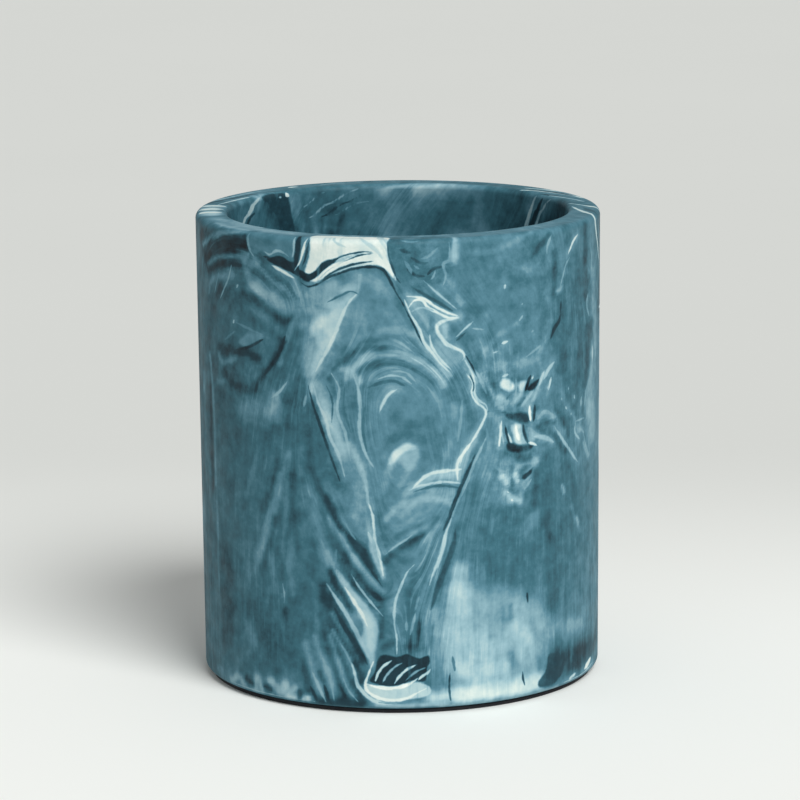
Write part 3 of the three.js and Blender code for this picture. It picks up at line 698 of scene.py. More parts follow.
# The impressed pocket by the foot, painted on the flat wall: painted shade for its dark hollow over a
# pale bowl of painted light, and painted highlights for the light wisps that cross it
POCKET_PAINTED_SHADE_AND_LIGHT = [
    # painted light: the pale bowl, the pocket's lit lower face
    (0.73, 0.25, [(-7.3, 6.1), (-4.8, 5.5), (-2, 5.3), (0.4, 5.8), (2.4, 6.6), (4.4, 6.2), (5.8, 5.2),
                  (5.6, 4), (3.6, 3.4), (1.2, 3.1), (-1.6, 2.7), (-4.6, 3.2), (-6.9, 4.5)]),
    # painted shade: the dark hollow under the pocket's upper edge
    (0.06, 0.22, [(-5, 10.4), (-5.6, 8.3), (-6.5, 6.9), (-4.6, 6.1), (-2.1, 5.8), (0, 6.2), (1.9, 7),
                  (3.2, 6.8), (4.7, 6.8), (5, 9.4), (5.7, 10.6), (5.2, 12), (3.4, 11.4), (1, 12.4),
                  (-1.1, 11.8), (-3.4, 12.4), (-4.6, 11.6)]),
]

POCKET_PAINTED_HIGHLIGHTS = [
    # painted highlights: the pale wisps along the edges in the pocket
    (0.90, 0.32, [(-5.7, 10.8), (-6.8, 8), (-7.4, 6.2), (-6.9, 4.6), (-4.6, 3.3), (-1.6, 2.9),
                  (1.2, 3.4), (3, 4.4), (5, 5.3)]),
    (0.96, 0.36, [(-7.2, 6.2), (-4.8, 5.6), (-2, 5.4), (0.4, 5.9), (2.4, 6.8), (3.1, 7.4)]),
    (0.84, 0.30, [(-5.4, 6.6), (-4.8, 8.4), (-3.6, 10), (-1.8, 11.2)]),
    (0.56, 0.20, [(-4, 6.4), (-3, 8.2), (-1.4, 9.8), (0.2, 10.6)]),
    (0.82, 0.28, [(-1.6, 6.2), (-0.6, 7.8), (1, 9.2), (3, 10.2)]),
    (0.50, 0.20, [(0.6, 6.8), (1.8, 8), (3.4, 9), (5, 9.6)]),
    (0.80, 0.24, [(3.2, 7), (4, 7.8), (5.2, 8.4), (5.8, 9.4)]),
    (0.40, 0.14, [(-4.8, 2.5), (-1.5, 2.2), (1.6, 2.5)]),
]

# How strong the streaks are from place to place: strength, reach, path.
STREAKS = [
    (0.28, 10, [(-40, 58), (-38, 36), (-38, 10)]),
    (0.35, 6, [(-28, 56), (-27, 40), (-28, 14)]),
    (1.05, 5.5, [(-15, 42), (-12, 28), (-13, 6)]),
    (0.75, 6, [(-6, 74), (0, 73), (6, 69)]),
    (0.15, 6, [(1, 63), (1, 50)]),
    (1.00, 5, [(2, 42), (4, 24), (2, 14)]),
    (0.35, 4, [(12, 38), (11, 28)]),
    (0.50, 8, [(12, 22), (24, 14)]),
    (0.25, 10, [(30, 92), (30, 70), (32, 40), (38, 28)]),
    (0.25, 8, [(52, 90), (52, 40)]),
    (0.90, 4, [(-44, 91), (-38, 91)]),
    (0.30, 3.4, [(-128, 98.3), (-64, 98.3), (0, 98.3), (64, 98.3), (128, 98.3)]),
]
STREAKS_ELSEWHERE = 0.5

# How cloudy it is, in the same form
CLOUDS = [
    (0.55, 4, [(2, 95), (5, 91), (6, 88)]),
    (0.30, 9, [(30, 90), (34, 76), (38, 60)]),
    (0.52, 6, [(18, 68), (24, 62), (28, 55), (24, 46)]),
    (0.40, 5, [(-14, 95), (-4, 94)]),
    (0.44, 5, [(50, 84), (50, 70), (48, 58)]),
    (0.34, 4, [(-17, 82), (-14, 72), (-14, 58)]),
    (0.34, 4, [(-11, 50), (-7, 40), (-5, 34)]),
    (0.30, 6, [(-38, 84), (-28, 82)]),
    (0.28, 5, [(-40, 68), (-34, 64)]),
    (0.28, 6, [(50, 66), (50, 50)]),
]
CLOUDS_ELSEWHERE = 0.20

# Lines that the marbling flows along: a level and its path. The finest streaks follow the lines
# of equal level.
FLOW = [
    (-60, [(-60, 94), (-66, 76), (-63, 58), (-57, 42), (-63, 24), (-68, 4)]),
    (-52, [(-52, 0), (-52, 60), (-51, 78), (-48, 86), (-42, 90), (-35, 91), (-30, 90), (-26, 87.5),
           (-21.5, 84), (-20.5, 79), (-22.5, 73), (-25, 66), (-27, 56), (-29.5, 42), (-31, 30),
           (-31, 0)]),
    (-46, [(-47, 0), (-47, 55), (-46, 72), (-43, 81), (-38, 85.5), (-31, 85), (-27, 80), (-27, 74),
           (-30, 66), (-33, 55), (-35, 40), (-36.5, 20), (-37, 0)]),
    (-41, [(-42, 0), (-42, 50), (-41, 65), (-38, 74), (-34, 75), (-33, 70), (-36, 60), (-39, 45),
           (-41, 0)]),
    (-57, [(-20, 94), (-19.5, 88), (-18.5, 82), (-18, 75), (-19.5, 66), (-22, 52), (-24, 40), (-25, 25),
           (-25, 0)]),
    (-60, [(-21, 60), (-20, 48), (-17, 38), (-13.5, 29), (-10.5, 20), (-9, 10), (-10, 0)]),
    (-64, [(-18.5, 66), (-17, 56), (-15, 48), (-12, 40), (-8.5, 34), (-5.5, 28.5), (-4, 24)]),
    (-64, [(-3.4, 30), (-5, 37), (-7, 44), (-9.5, 51), (-12, 58), (-13.5, 65), (-13, 72), (-11.5, 78),
           (-9, 84), (-5.5, 87), (-2.5, 86.5), (0.5, 82), (4, 76), (8, 71), (11, 66.5), (12.5, 61),
           (13, 56), (12, 51), (10.5, 44), (8.5, 36), (6, 28), (3.5, 20), (3, 8), (3, 0)]),
    (-59, [(-2.5, 33), (-4.5, 42), (-6, 49), (-7.5, 56), (-8, 62), (-8.5, 68), (-6.5, 71.5), (-2, 73),
           (3, 71.5), (7, 69), (9.5, 65), (10.5, 60), (11.2, 54)]),
    (-54, [(-4, 48), (-5.5, 56), (-6, 62), (-5, 67), (-1.5, 69), (2, 67.5), (6, 64), (7.5, 58),
           (8.2, 53), (10.4, 50)]),
    (-49, [(-2.8, 56), (-3.5, 61), (-2, 65), (0.5, 65.5), (3, 62), (4, 57), (3, 52)]),
    (-58, [(-3.5, 33), (0, 35.5), (4, 38), (8, 39.5)]),
    (-55, [(-3.5, 38), (-1, 42), (3, 44), (7, 44), (10.5, 43)]),
    (-52, [(-3, 43), (0.5, 45.5), (5, 47.8), (11, 48.5)]),
    (-70, [(-1, 90), (1, 86), (4, 82), (8, 78), (11, 73), (14, 69), (15.3, 65), (17.5, 60.5),
           (16.5, 57), (14.5, 52), (13, 46), (11.5, 41), (10.5, 35), (9, 29), (7, 20), (6, 10),
           (6, 0)]),
    (-76, [(2, 94), (4, 90), (8, 85), (13, 80), (17, 74), (18, 67), (20, 60), (19.5, 56), (18, 50),
           (15, 42), (13.5, 33), (12.5, 20), (12, 0)]),
    (-84, [(12, 94), (14, 88), (19, 80), (22, 72), (22, 58), (22, 42), (21, 30), (20, 0)]),
    (-92, [(22, 93), (26, 90), (30, 84), (31, 76), (31, 68), (29, 58), (29, 50), (30, 40), (30, 0)]),
    (-100, [(32, 94), (35, 88), (36, 78), (36, 66), (36.5, 54), (37, 40), (38, 20), (38, 0)]),
    (-110, [(42, 94), (41, 85), (43, 70), (43, 50), (45, 30), (46, 0)]),
    (-122, [(56, 94), (60, 80), (64, 64), (62, 46), (58, 32), (61, 14), (64, 0)]),
]


# How the copies of the front's pattern are bent and placed, in mm
BEHIND_SWAY = 5.0
BEHIND_SWAY_HEIGHT = 17.0
BEHIND_RISE = 2.5
BEHIND_RISE_WIDTH = 9.0
WITHIN_SLANT = 0.3
WITHIN_SWAY = 4.0
WITHIN_SWAY_DEPTH = 14.0
SIDE_SHRINK = 0.75
SIDE_SLANT = 0.1
LEFT_AROUND = -76.0
LEFT_TOP = 84.0
RIGHT_AROUND = 73.0
RIGHT_RISE = 26.0

# The field of strokes by the foot, in mm around and up
STROKES_AROUND = (-17, 15)
STROKES_UP = (3, 50)


def carried(rows, move):
    """The same marks at other places. The path is the last value of each row."""
    return [(*row[:-1], [move(place) for place in row[-1]]) for row in rows]


def behind(place):
    """The front's pattern goes round the back turned upside down, as one pour folds over."""
    around, up = place
    sway = BEHIND_SWAY * math.sin(up / BEHIND_SWAY_HEIGHT)
    rise = BEHIND_RISE * math.sin(around / BEHIND_RISE_WIDTH)
    return GIRTH / 2 - around + sway, RIM_HEIGHT + BODY_BOTTOM - up + rise


def within(place):
    """The outside's pattern goes on down the inside, slanted."""
    around, up = place
    depth = RIM_HEIGHT - up
    sway = WITHIN_SWAY * math.sin(depth / WITHIN_SWAY_DEPTH)
    return around + WITHIN_SLANT * depth + sway, RIM_END + depth


def to_left(place):
    """The strokes by the foot come again on the left side, upside down."""
    around, up = place
    return SIDE_SHRINK * around + SIDE_SLANT * up + LEFT_AROUND, LEFT_TOP - up


def to_right(place):
    """They come again on the right side too, mirrored and higher up."""
    around, up = place
    return RIGHT_AROUND - SIDE_SHRINK * around - SIDE_SLANT * up, up + RIGHT_RISE


def on_sides(rows):
    """The rows whose paths lie wholly in the field of strokes by the foot, on both sides."""
    left, right = STROKES_AROUND
    low, high = STROKES_UP
    strokes = [row for row in rows if all(left < u < right and low < v < high for u, v in row[-1])]
    return carried(strokes, to_left) + carried(strokes, to_right)


def everywhere(rows):
    """The front's rows with their copies behind and within."""
    outside = rows + carried(rows, behind)
    return outside + carried(outside, within)


STEP = 0.5  # mm between the points of a smoothed line
SHORTEST = 1e-6  # mm that a stretch of a line counts as at least

WASH_STRENGTH = 0.92
WASH_RAGGED = 0.5  # mm that a wash's edge wanders
WASH_FALL = 2.6  # how steeply a wash falls off at its reach
WASH_RANGE = 3  # reaches beyond its path that a wash is worked out for
HALO_STRENGTH = 0.35
HALO_REACH = 0.6  # mm that a vein's colour bleeds past it
HALO_WIDTHS = 1.5  # half widths of the vein that are added to that
RAGGED_COARSE = 420  # noise per metre
RAGGED_FINE = 1000

VEIN_STRENGTH = 0.93
VEIN_EDGE = 0.09  # mm on each side of its edge over which the thinnest vein fades
VEIN_EDGE_GROWTH = 0.28  # added to that for each mm of half width
TAPER_SHARE = 0.3  # of a vein's length, at each end
TAPER_POWER = 0.6  # how bluntly it ends
SPREAD = 0.7  # mm beyond a mark's edge after which it is thinned away
THINNING = 3  # mm of width that it loses for each further mm
POOL_FADE = 0.25  # strength that a pool loses for each mm of softness
POOL_RINGS = (1, 0.75, 0.5, 0.25, 0)  # shares of its size at which a pool's inside is sampled
SHARED_GAP = 2.5  # mm that two marks on one layer keep between them
REACH = 4.0  # mm beyond a mark's edge that it is worked out for

# What a layer says where no mark reaches. A shape is the distance from the mark's line, its half
# width and its tone. A manner is the softness of its edge, its strength and an unused nought.
NO_MARK_OUTSIDE = 9.0
NO_MARK_SHAPE = (0.0, -9.0, 0.5)
NO_MARK_MANNER = (0.2, 0.0, 0.0)

FLOW_STRIDE = 8  # steps of a smoothed flow line between the places that the field goes through
FLOW_SLACK = 40.0  # how loosely it goes through them
FLOW_BATCH = 4000  # places worked out at a time


def turned_near(around, middle):
    """The same places round the cup, counted so that they lie within half a turn of middle."""
    return (around - middle + GIRTH / 2) % GIRTH - GIRTH / 2 + middle


def smooth_line(points, closed=False):
    """A Catmull-Rom curve through the points, as places about STEP apart."""
    p = np.array(points, float)
    if closed:
        p = np.vstack([p[-1], p, p[0], p[1]])
    else:
        p = np.vstack([2 * p[0] - p[1], p, 2 * p[-1] - p[-2]])
    out = []
    for a, b, c, d in zip(p[:-3], p[1:-2], p[2:-1], p[3:]):
        count = max(2, int(np.linalg.norm(c - b) / STEP))
        t = (np.arange(count) / count)[:, None]
        out.append(0.5 * (2 * b + (c - a) * t + (2 * a - 5 * b + 4 * c - d) * t**2
                          + (3 * b - a - 3 * c + d) * t**3))
    return np.vstack(out + [p[-2][None]])


def beside_line(line, places):
    """How far each place lies to the side of the line, signed, how far past its ends, and the
    share of the line's length at which it lies."""
    start, span = line[:-1], np.diff(line, axis=0)
    length = np.maximum(np.linalg.norm(span, axis=1), SHORTEST)
    way = span / length[:, None]
    rel = places[:, None, :] - start[None]
    along = (rel * way).sum(2)
    held = np.clip(along, 0, length)
    gap = np.linalg.norm(rel - held[..., None] * way, axis=2)
    near = gap.argmin(1)
    row = np.arange(len(places))
    side = way[near, 0] * rel[row, near, 1] - way[near, 1] * rel[row, near, 0]
    before = np.where(near == 0, np.maximum(0, -along[row, near]), 0)
    after = np.where(near == len(start) - 1, np.maximum(0, along[row, near] - length[near]), 0)
    past = before + after
    off = np.where(past > 0, side, np.sign(side) * gap[row, near])
    run = np.concatenate([[0], np.cumsum(length)])
    share = (run[near] + held[row, near]) / run[-1]
    return off, past, share


def in_box(around, up, low, high):
    """The rows of the places that lie between two corners."""
    return np.flatnonzero((around > low[0]) & (around < high[0]) & (up > low[1]) & (up < high[1]))


def inside_outline(line, places):
    """True for the places inside a closed line."""
    inside = np.zeros(len(places), bool)
    for (x0, y0), (x1, y1) in zip(line, np.roll(line, -1, axis=0)):
        if y0 != y1:
            crosses = (y0 > places[:, 1]) != (y1 > places[:, 1])
            inside ^= crosses & (places[:, 0] < x0 + (places[:, 1] - y0) * (x1 - x0) / (y1 - y0))
    return inside


class Mark:
    """A vein or a pool, with its smoothed line."""

    def __init__(self, tone, half_width, points, edge=None):
        self.tone = tone
        self.half_width = half_width
        self.closed = edge is not None
        self.edge = edge if self.closed else VEIN_EDGE + VEIN_EDGE_GROWTH * half_width
        self.strength = 1 - POOL_FADE * edge if self.closed else VEIN_STRENGTH
        self.line = smooth_line(points, self.closed)
        self.middle = self.line[:, 0].mean()
        self.low = self.line.min(0) - half_width
        self.high = self.line.max(0) + half_width
        self.covered = self.line
        if self.closed:
            centre = self.line.mean(0)
            self.covered = np.vstack([centre + (self.line - centre) * size for size in POOL_RINGS])

    def gap_to(self, other):
        """The least distance between the edges of this mark and another, where they are close."""
        between = abs(turned_near(self.middle, other.middle) - other.middle)
        across = between - (self.high[0] - self.low[0] + other.high[0] - other.low[0]) / 2
        along = max(self.low[1] - other.high[1], other.low[1] - self.high[1])
        if across > 2 * SHARED_GAP or along > 2 * SHARED_GAP:
            return 2 * SHARED_GAP
        apart = np.abs(self.covered[:, None] - other.covered[None])
        apart[..., 0] = np.minimum(apart[..., 0], GIRTH - apart[..., 0])
        return np.hypot(apart[..., 0], apart[..., 1]).min() - self.half_width - other.half_width

    def paint(self, sheet, layer):
        """Writes the mark into its layer's numbers at the places it reaches."""
        around = turned_near(sheet[:, 0], self.middle)
        reach = REACH + self.half_width
        low, high = self.line.min(0) - reach, self.line.max(0) + reach
        near = in_box(around, sheet[:, 1], low, high)
        places = np.stack([around[near], sheet[near, 1]], 1)
        off, past, share = beside_line(self.line, places)
        if self.closed:
            width = np.where(inside_outline(self.line[:-1], places), np.abs(off), -np.abs(off))
            off = np.zeros_like(off)
        else:
            start = np.clip(share / TAPER_SHARE, 0, 1) ** TAPER_POWER
            end = np.clip((1 - share) / TAPER_SHARE, 0, 1) ** TAPER_POWER
            width = self.half_width * (start * end) - past
        outside = np.abs(off) - width
        width = width - THINNING * np.maximum(0, outside - SPREAD)
        outside = np.abs(off) - width
        wins = outside < layer["outside"][near]
        near = near[wins]
        layer["outside"][near] = outside[wins]
        tones = np.full(wins.sum(), self.tone)
        layer["shape"][near] = np.stack([off[wins], width[wins], tones], 1)
        layer["manner"][near] = (self.edge, self.strength, 0)


def layered(marks):
    """Sorts marks into layers so that marks near each other lie on different ones, in order."""
    layers = []
    for mark in marks:
        gaps = [(mark.gap_to(other), level) for level, held in enumerate(layers) for other in held]
        level = 1 + max([level for gap, level in gaps if gap < mark.edge], default=-1)
        while any(gap < SHARED_GAP for gap, at in gaps if at == level):
            level += 1
        while len(layers) <= level:
            layers.append([])
        layers[level].append(mark)
    return layers


def wall_point(around, up):
    """A place in space for each place on the sheet, which joins up all the way round."""
    angle = around / RIM_RADIUS
    return np.stack([RIM_RADIUS * np.sin(angle), -RIM_RADIUS * np.cos(angle), up], -1)


def on_floor(sheet):
    """The same, with the cup's floor and underside closing in to their middles."""
    up = np.clip(sheet[:, 1], 0, FLOOR_START)
    inward = 1 - np.abs(sheet[:, 1] - up) / FOOT_RADIUS
    return wall_point(sheet[:, 0], up) * np.stack([inward, inward, np.ones_like(inward)], 1)


def flow_level(sheet):
    """The level of the flow at each place: a smooth field through the levels of the flow lines."""
    centres, levels = [], []
    flow = FLOW + carried(FLOW, behind)
    flow += carried(flow, within)
    for level, points in flow:
        line = smooth_line(points)[::FLOW_STRIDE]
        centres.append(wall_point(line[:, 0], line[:, 1]))
        levels.append(np.full(len(line), float(level)))
    centres, levels = np.vstack(centres), np.concatenate(levels)
    count = len(centres)
    kernel = np.linalg.norm(centres[:, None] - centres[None], axis=2) ** 3
    kernel[np.arange(count), np.arange(count)] += FLOW_SLACK
    linear = np.hstack([np.ones((count, 1)), centres])
    system = np.block([[kernel, linear], [linear.T, np.zeros((4, 4))]])
    weights = np.linalg.solve(system, np.concatenate([levels, np.zeros(4)]))
    places = on_floor(sheet)
    out = np.empty(len(sheet))
    for first in range(0, len(sheet), FLOW_BATCH):
        p = places[first:first + FLOW_BATCH]
        apart = (p**2).sum(1)[:, None] + (centres**2).sum(1)[None] - 2 * p @ centres.T
        reach = np.maximum(apart, 0) ** 1.5
        level = reach @ weights[:count] + weights[count] + p @ weights[count + 1:]
        out[first:first + FLOW_BATCH] = level
    return out


def washed(sheet, ground, washes, strength):
    """The value at each place after washes of (value, reach, path) over a ground, in order."""
    result = np.array(ground, float)
    for value, reach, points in washes:
        line = smooth_line(points)
        around = turned_near(sheet[:, 0], line[:, 0].mean())
        up = sheet[:, 1]
        low, high = line.min(0) - WASH_RANGE * reach, line.max(0) + WASH_RANGE * reach
        near = in_box(around, up, low, high)
        gap = np.full(len(near), np.inf)
        for point in line:
            np.minimum(gap, np.hypot(around[near] - point[0], up[near] - point[1]), out=gap)
        gap = np.maximum(0, gap + WASH_RAGGED * min(1, reach) * sheet[near, 2])
        share = strength * np.exp(-((gap / reach) ** WASH_FALL))
        result[near] += (value - result[near]) * share
    return result


def raggedness(obj):
    """A number about -0.7 to 0.7 for each vertex, which varies over a millimetre or two."""
    solid_noise = mathutils.noise.noise
    places = [vertex.co for vertex in obj.data.vertices]
    return [solid_noise(co * RAGGED_COARSE) + 0.5 * solid_noise(co * RAGGED_FINE) for co in places]


def washed_tone(sheet):
    """The tone at each place after all the washes, and a soft one beside each vein, whose colour
    has bled a little into the plastic."""
    haloes = [
        (0.5 * (tone + BASE_TONE), HALO_REACH + HALO_WIDTHS * width, path) for tone, width, path in VEINS
    ]
    tone = washed(sheet, np.full(len(sheet), BASE_TONE), everywhere(GROUNDS), WASH_STRENGTH)
    tone = washed(sheet, tone, everywhere(haloes), HALO_STRENGTH)
    washes = on_sides(WASHES) + everywhere(WASHES) + RIM_WASHES
    return washed(sheet, tone, washes, WASH_STRENGTH)


ROUND_STEPS = 6  # faces across each rounded edge

# How fine the cup's mesh is, in mm
SIDE_SPACING = 0.55
RIM_SPACING = 0.7
PLAIN_SPACING = 2.5
FRONT_SPACING = 0.52
BACK_SPACING = 0.9
FRONT_HALF_WIDTH = 64  # the front reaches this far round to each side
SIDE_SLACK = 0.5  # inside the foot's radius, still counted as the side
SIDE_STRETCH = 1  # the least height of a stretch of the side
RIM_SLACK = 0.1  # below the rim, still counted as the rim
TOP_SLACK = 0.01  # below the rim, still counted as its flat top

PAD_SPACING = 3.0
PAD_COLUMNS = 240


def rounded(before, corner, after, radius):
    """The arc that rounds a corner between two straight edges of a profile."""
    before, corner, after = (np.array(p, float) for p in (before, corner, after))
    back, ahead = before - corner, after - corner
    back /= np.linalg.norm(back)
    ahead /= np.linalg.norm(ahead)
    half = math.acos(np.clip(back @ ahead, -1, 1)) / 2
    middle = (back + ahead) / np.linalg.norm(back + ahead)
    centre = corner + middle * radius / math.sin(half)
    start = corner + back * radius / math.tan(half) - centre
    end = corner + ahead * radius / math.tan(half) - centre
    turn = math.atan2(start[0] * end[1] - start[1] * end[0], start @ end)
    arc = []
    for k in range(ROUND_STEPS + 1):
        a = turn * k / ROUND_STEPS
        arc.append(centre + (start[0] * math.cos(a) - start[1] * math.sin(a),
                             start[0] * math.sin(a) + start[1] * math.cos(a)))
    return arc


def divided(points, spacing):
    """The same profile with points no further apart than spacing gives for each stretch."""
    out = [np.array(points[0], float)]
    for a, b in zip(points[:-1], points[1:]):
        a, b = np.array(a, float), np.array(b, float)
        count = max(1, math.ceil(np.linalg.norm(b - a) / spacing(a, b)))
        out += [a + (b - a) * (k + 1) / count for k in range(count)]
    return np.array(out)


def turned_profile(corners, spacing):
    """A divided profile through corners, each a place and the rounding there."""
    profile = []
    for i, (place, rounding) in enumerate(corners):
        if rounding:
            profile += rounded(corners[i - 1][0], place, corners[i + 1][0], rounding)
        else:
            profile.append(np.array(place, float))
    return divided(profile, spacing)


def turned_mesh(name, profile, angles, up_of):
    """A body of revolution from a profile of (radius, height) that starts and ends on the axis.
    It returns the object and the place of each of its points on the unrolled sheet."""
    inner = profile[1:-1]
    rows, columns = len(inner), len(angles)
    sin, cos = np.sin(angles), np.cos(angles)
    heights = np.repeat(inner[:, 1:], columns, 1)
    ring = np.stack([inner[:, :1] * sin, -inner[:, :1] * cos, heights], -1)
    ends = np.array([[0, 0, profile[0][1]], [0, 0, profile[-1][1]]])
    points = np.vstack([ring.reshape(-1, 3), ends]) * MM
    r, c = np.meshgrid(np.arange(rows - 1), np.arange(columns), indexing="ij")
    n = (c + 1) % columns
    this, above = r * columns, (r + 1) * columns
    faces = np.stack([this + c, this + n, above + n, above + c], -1).reshape(-1, 4).tolist()
    low, high = rows * columns, rows * columns + 1
    last = (rows - 1) * columns
    faces += [[low, (k + 1) % columns, k] for k in range(columns)]
    faces += [[high, last + k, last + (k + 1) % columns] for k in range(columns)]
    mesh = bpy.data.meshes.new(name)
    mesh.from_pydata(points.tolist(), [], faces)
    mesh.shade_smooth()
    obj = add_object(name, mesh)
    up = up_of(inner)
    around = np.where(angles > math.pi, angles - 2 * math.pi, angles) * RIM_RADIUS
    sheet = np.stack([np.tile(around, rows), np.repeat(up, columns)], 1)
    sheet = np.vstack([sheet, [[0, up[0]], [0, up[-1]]]])
    return obj, sheet


def add_attribute(obj, name, kind, values):
    attribute = obj.data.attributes.new(name, kind, "POINT")
    field = "value" if kind == "FLOAT" else "vector"
    attribute.data.foreach_set(field, np.ascontiguousarray(values, dtype=np.float32).ravel())


def cup_angles():
    """Angles round the cup, closer together in front than behind."""
    front = np.arange(-FRONT_HALF_WIDTH, FRONT_HALF_WIDTH, FRONT_SPACING)
    back = np.arange(FRONT_HALF_WIDTH, GIRTH - FRONT_HALF_WIDTH, BACK_SPACING)
    return np.mod(np.concatenate([front, back]) / RIM_RADIUS, 2 * math.pi)


def cup_spacing(a, b):
    """The spacing on the stretch of the cup's profile from a to b."""
    if min(a[0], b[0]) > FOOT_RADIUS - SIDE_SLACK and abs(a[1] - b[1]) > SIDE_STRETCH:
        return SIDE_SPACING
    if min(a[1], b[1]) > RIM_HEIGHT - RIM_SLACK:
        return RIM_SPACING
    return PLAIN_SPACING


def cup_up(points):
    """How far up the unrolled sheet each point of the cup's profile is."""
    radius, height = points.T
    side_radius = RIM_RADIUS - (RIM_HEIGHT - height) * math.tan(math.radians(SIDE_DRAFT_DEG))
    row = np.arange(len(points))
    top = np.argmax(height > RIM_HEIGHT - TOP_SLACK)
    upper = height + side_radius - radius
    lower = height - side_radius + radius
    outer = np.where(height > RIM_HEIGHT / 2, upper, lower)
    return np.where(row <= top, outer, RIM_START + RIM_RADIUS - radius + RIM_HEIGHT - height)


def pool_marks(rows):
    return [Mark(tone, 0.0, points, edge) for tone, edge, points in rows]


def vein_marks(rows):
    return [Mark(tone, half_width, points) for tone, half_width, points in rows]


def cup_marks():
    """All the marks with an edge, in the order in which they are laid."""
    marks = pool_marks(POOLS + carried(POOLS[:-1], behind))
    marks += vein_marks(on_sides(VEINS) + VEINS + RIM_VEINS + carried(VEINS, behind))
    return marks + pool_marks(POCKET_PAINTED_SHADE_AND_LIGHT) + vein_marks(POCKET_PAINTED_HIGHLIGHTS)


def build_cup():
    """The cup's mesh, with its marbling as numbers at its points, and how many layers it has."""
    corners = [
        ((0, BODY_BOTTOM), 0),
        ((FOOT_RADIUS, BODY_BOTTOM), FOOT_ROUND),
        ((RIM_RADIUS, RIM_HEIGHT), RIM_ROUND),
        ((MOUTH_RADIUS, RIM_HEIGHT), RIM_ROUND),
        ((FLOOR_RADIUS, FLOOR_TOP), CAVITY_ROUND),
        ((0, FLOOR_TOP), 0),
    ]
    profile = turned_profile(corners, cup_spacing)
    obj, sheet = turned_mesh("marbled_cup", profile, cup_angles(), cup_up)
    sheet = np.column_stack([sheet, raggedness(obj)])
    count = len(sheet)
    add_attribute(obj, "tone", "FLOAT", washed_tone(sheet))
    add_attribute(obj, "flow", "FLOAT", flow_level(sheet))
    fields = (("lively", STREAKS_ELSEWHERE, STREAKS), ("cloudy", CLOUDS_ELSEWHERE, CLOUDS))
    for name, elsewhere, rows in fields:
        values = washed(sheet, np.full(count, elsewhere), everywhere(rows), 1.0)
        add_attribute(obj, name, "FLOAT", values)
    layers = layered(cup_marks())
    for i, held in enumerate(layers):
        layer = {
            "outside": np.full(count, NO_MARK_OUTSIDE),
            "shape": np.tile(NO_MARK_SHAPE, (count, 1)),
            "manner": np.tile(NO_MARK_MANNER, (count, 1)),
        }
        for mark in held:
            mark.paint(sheet, layer)
        for name in ("shape", "manner"):
            add_attribute(obj, f"{name}_{i}", "FLOAT_VECTOR", layer[name])
    return obj, len(layers)


# Colours are given as they look on a screen, red, green and blue out of 255.
def colour(red, green, blue):
    values = [c / 255 for c in (red, green, blue)]
    return tuple(c / 12.92 if c <= 0.04045 else ((c + 0.055) / 1.055) ** 2.4 for c in values) + (1.0,)


# The marbling's colour for each tone
TONE_COLOURS = [
    (0.00, colour(9, 19, 27)),
    (0.15, colour(29, 60, 71)),
    (0.30, colour(55, 101, 115)),
    (0.42, colour(84, 128, 144)),
    (0.62, colour(142, 176, 186)),
    (0.75, colour(174, 198, 200)),
    (0.88, colour(205, 217, 212)),
    (1.00, colour(230, 236, 231)),
]


def node(tree, kind, inputs=None, **settings):
    """A shader node with its settings, and its inputs as values or as links."""
    made = tree.nodes.new(kind)
    for name, value in settings.items():
        setattr(made, name, value)
    for socket, value in (inputs or {}).items():
        if isinstance(value, bpy.types.NodeSocket):
            tree.links.new(value, made.inputs[socket])
        else:
            made.inputs[socket].default_value = value
    return made


def calculate(tree, operation, *values):
    """One step of arithmetic on linked or plain numbers."""
    inputs = dict(enumerate(values))
    return node(tree, "ShaderNodeMath", inputs, operation=operation).outputs[0]


def smoothed(tree, value, low, high, to_low=0.0, to_high=1.0):
    """A soft step from to_low to to_high, as value goes from low to high."""
    inputs = {0: value, 1: low, 2: high, 3: to_low, 4: to_high}
    return node(tree, "ShaderNodeMapRange", inputs, interpolation_type="SMOOTHSTEP").outputs[0]


def read(tree, name, output):
    return node(tree, "ShaderNodeAttribute", attribute_name=name).outputs[output]


def noise(tree, place, scale, detail=2.0, roughness=0.5, across=None):
    """Noise over a place. With across, the noise also changes along that number."""
    inputs = {"Vector": place, "Scale": scale, "Detail": detail, "Roughness": roughness}
    if across is None:
        return node(tree, "ShaderNodeTexNoise", inputs).outputs["Fac"]
    inputs["W"] = across
    return node(tree, "ShaderNodeTexNoise", inputs, noise_dimensions="4D").outputs["Fac"]


def scaled(tree, place, factor):
    inputs = {0: place, "Scale": factor}
    return node(tree, "ShaderNodeVectorMath", inputs, operation="SCALE").outputs[0]


def streaks(tree, place, flow, scale, across, detail=2.0):
    """Noise drawn out along the flow. Scale says how fine it is along the flow, and across how
    fast it changes from one line of the flow to the next."""
    level = calculate(tree, "MULTIPLY", flow, across)
    return noise(tree, scaled(tree, place, scale), 1.0, detail, 0.5, level)


def centred(tree, texture):
    """A texture from 0 to 1 as a number about 0."""
    return calculate(tree, "SUBTRACT", texture, 0.5)


def own_place(tree):
    """The place on the piece itself, in metres."""
    return node(tree, "ShaderNodeTexCoord").outputs["Object"]


def mixed_tone(tree, share, under, over):
    inputs = {0: share, 2: under, 3: over}
    return node(tree, "ShaderNodeMix", inputs, data_type="FLOAT").outputs[0]


# A mix node's sockets 6 and 7, and its output 2, are the ones for colours.
def mixed_colour(tree, share, under, over):
    inputs = {0: share, 6: under, 7: over}
    return node(tree, "ShaderNodeMix", inputs, data_type="RGBA").outputs[2]


def add_roughness(tree, shader, texture, least, most):
    """Roughness that varies between two values, after a texture."""
    value = smoothed(tree, texture, 0.3, 0.7, least, most)
    tree.links.new(value, shader.inputs["Roughness"])


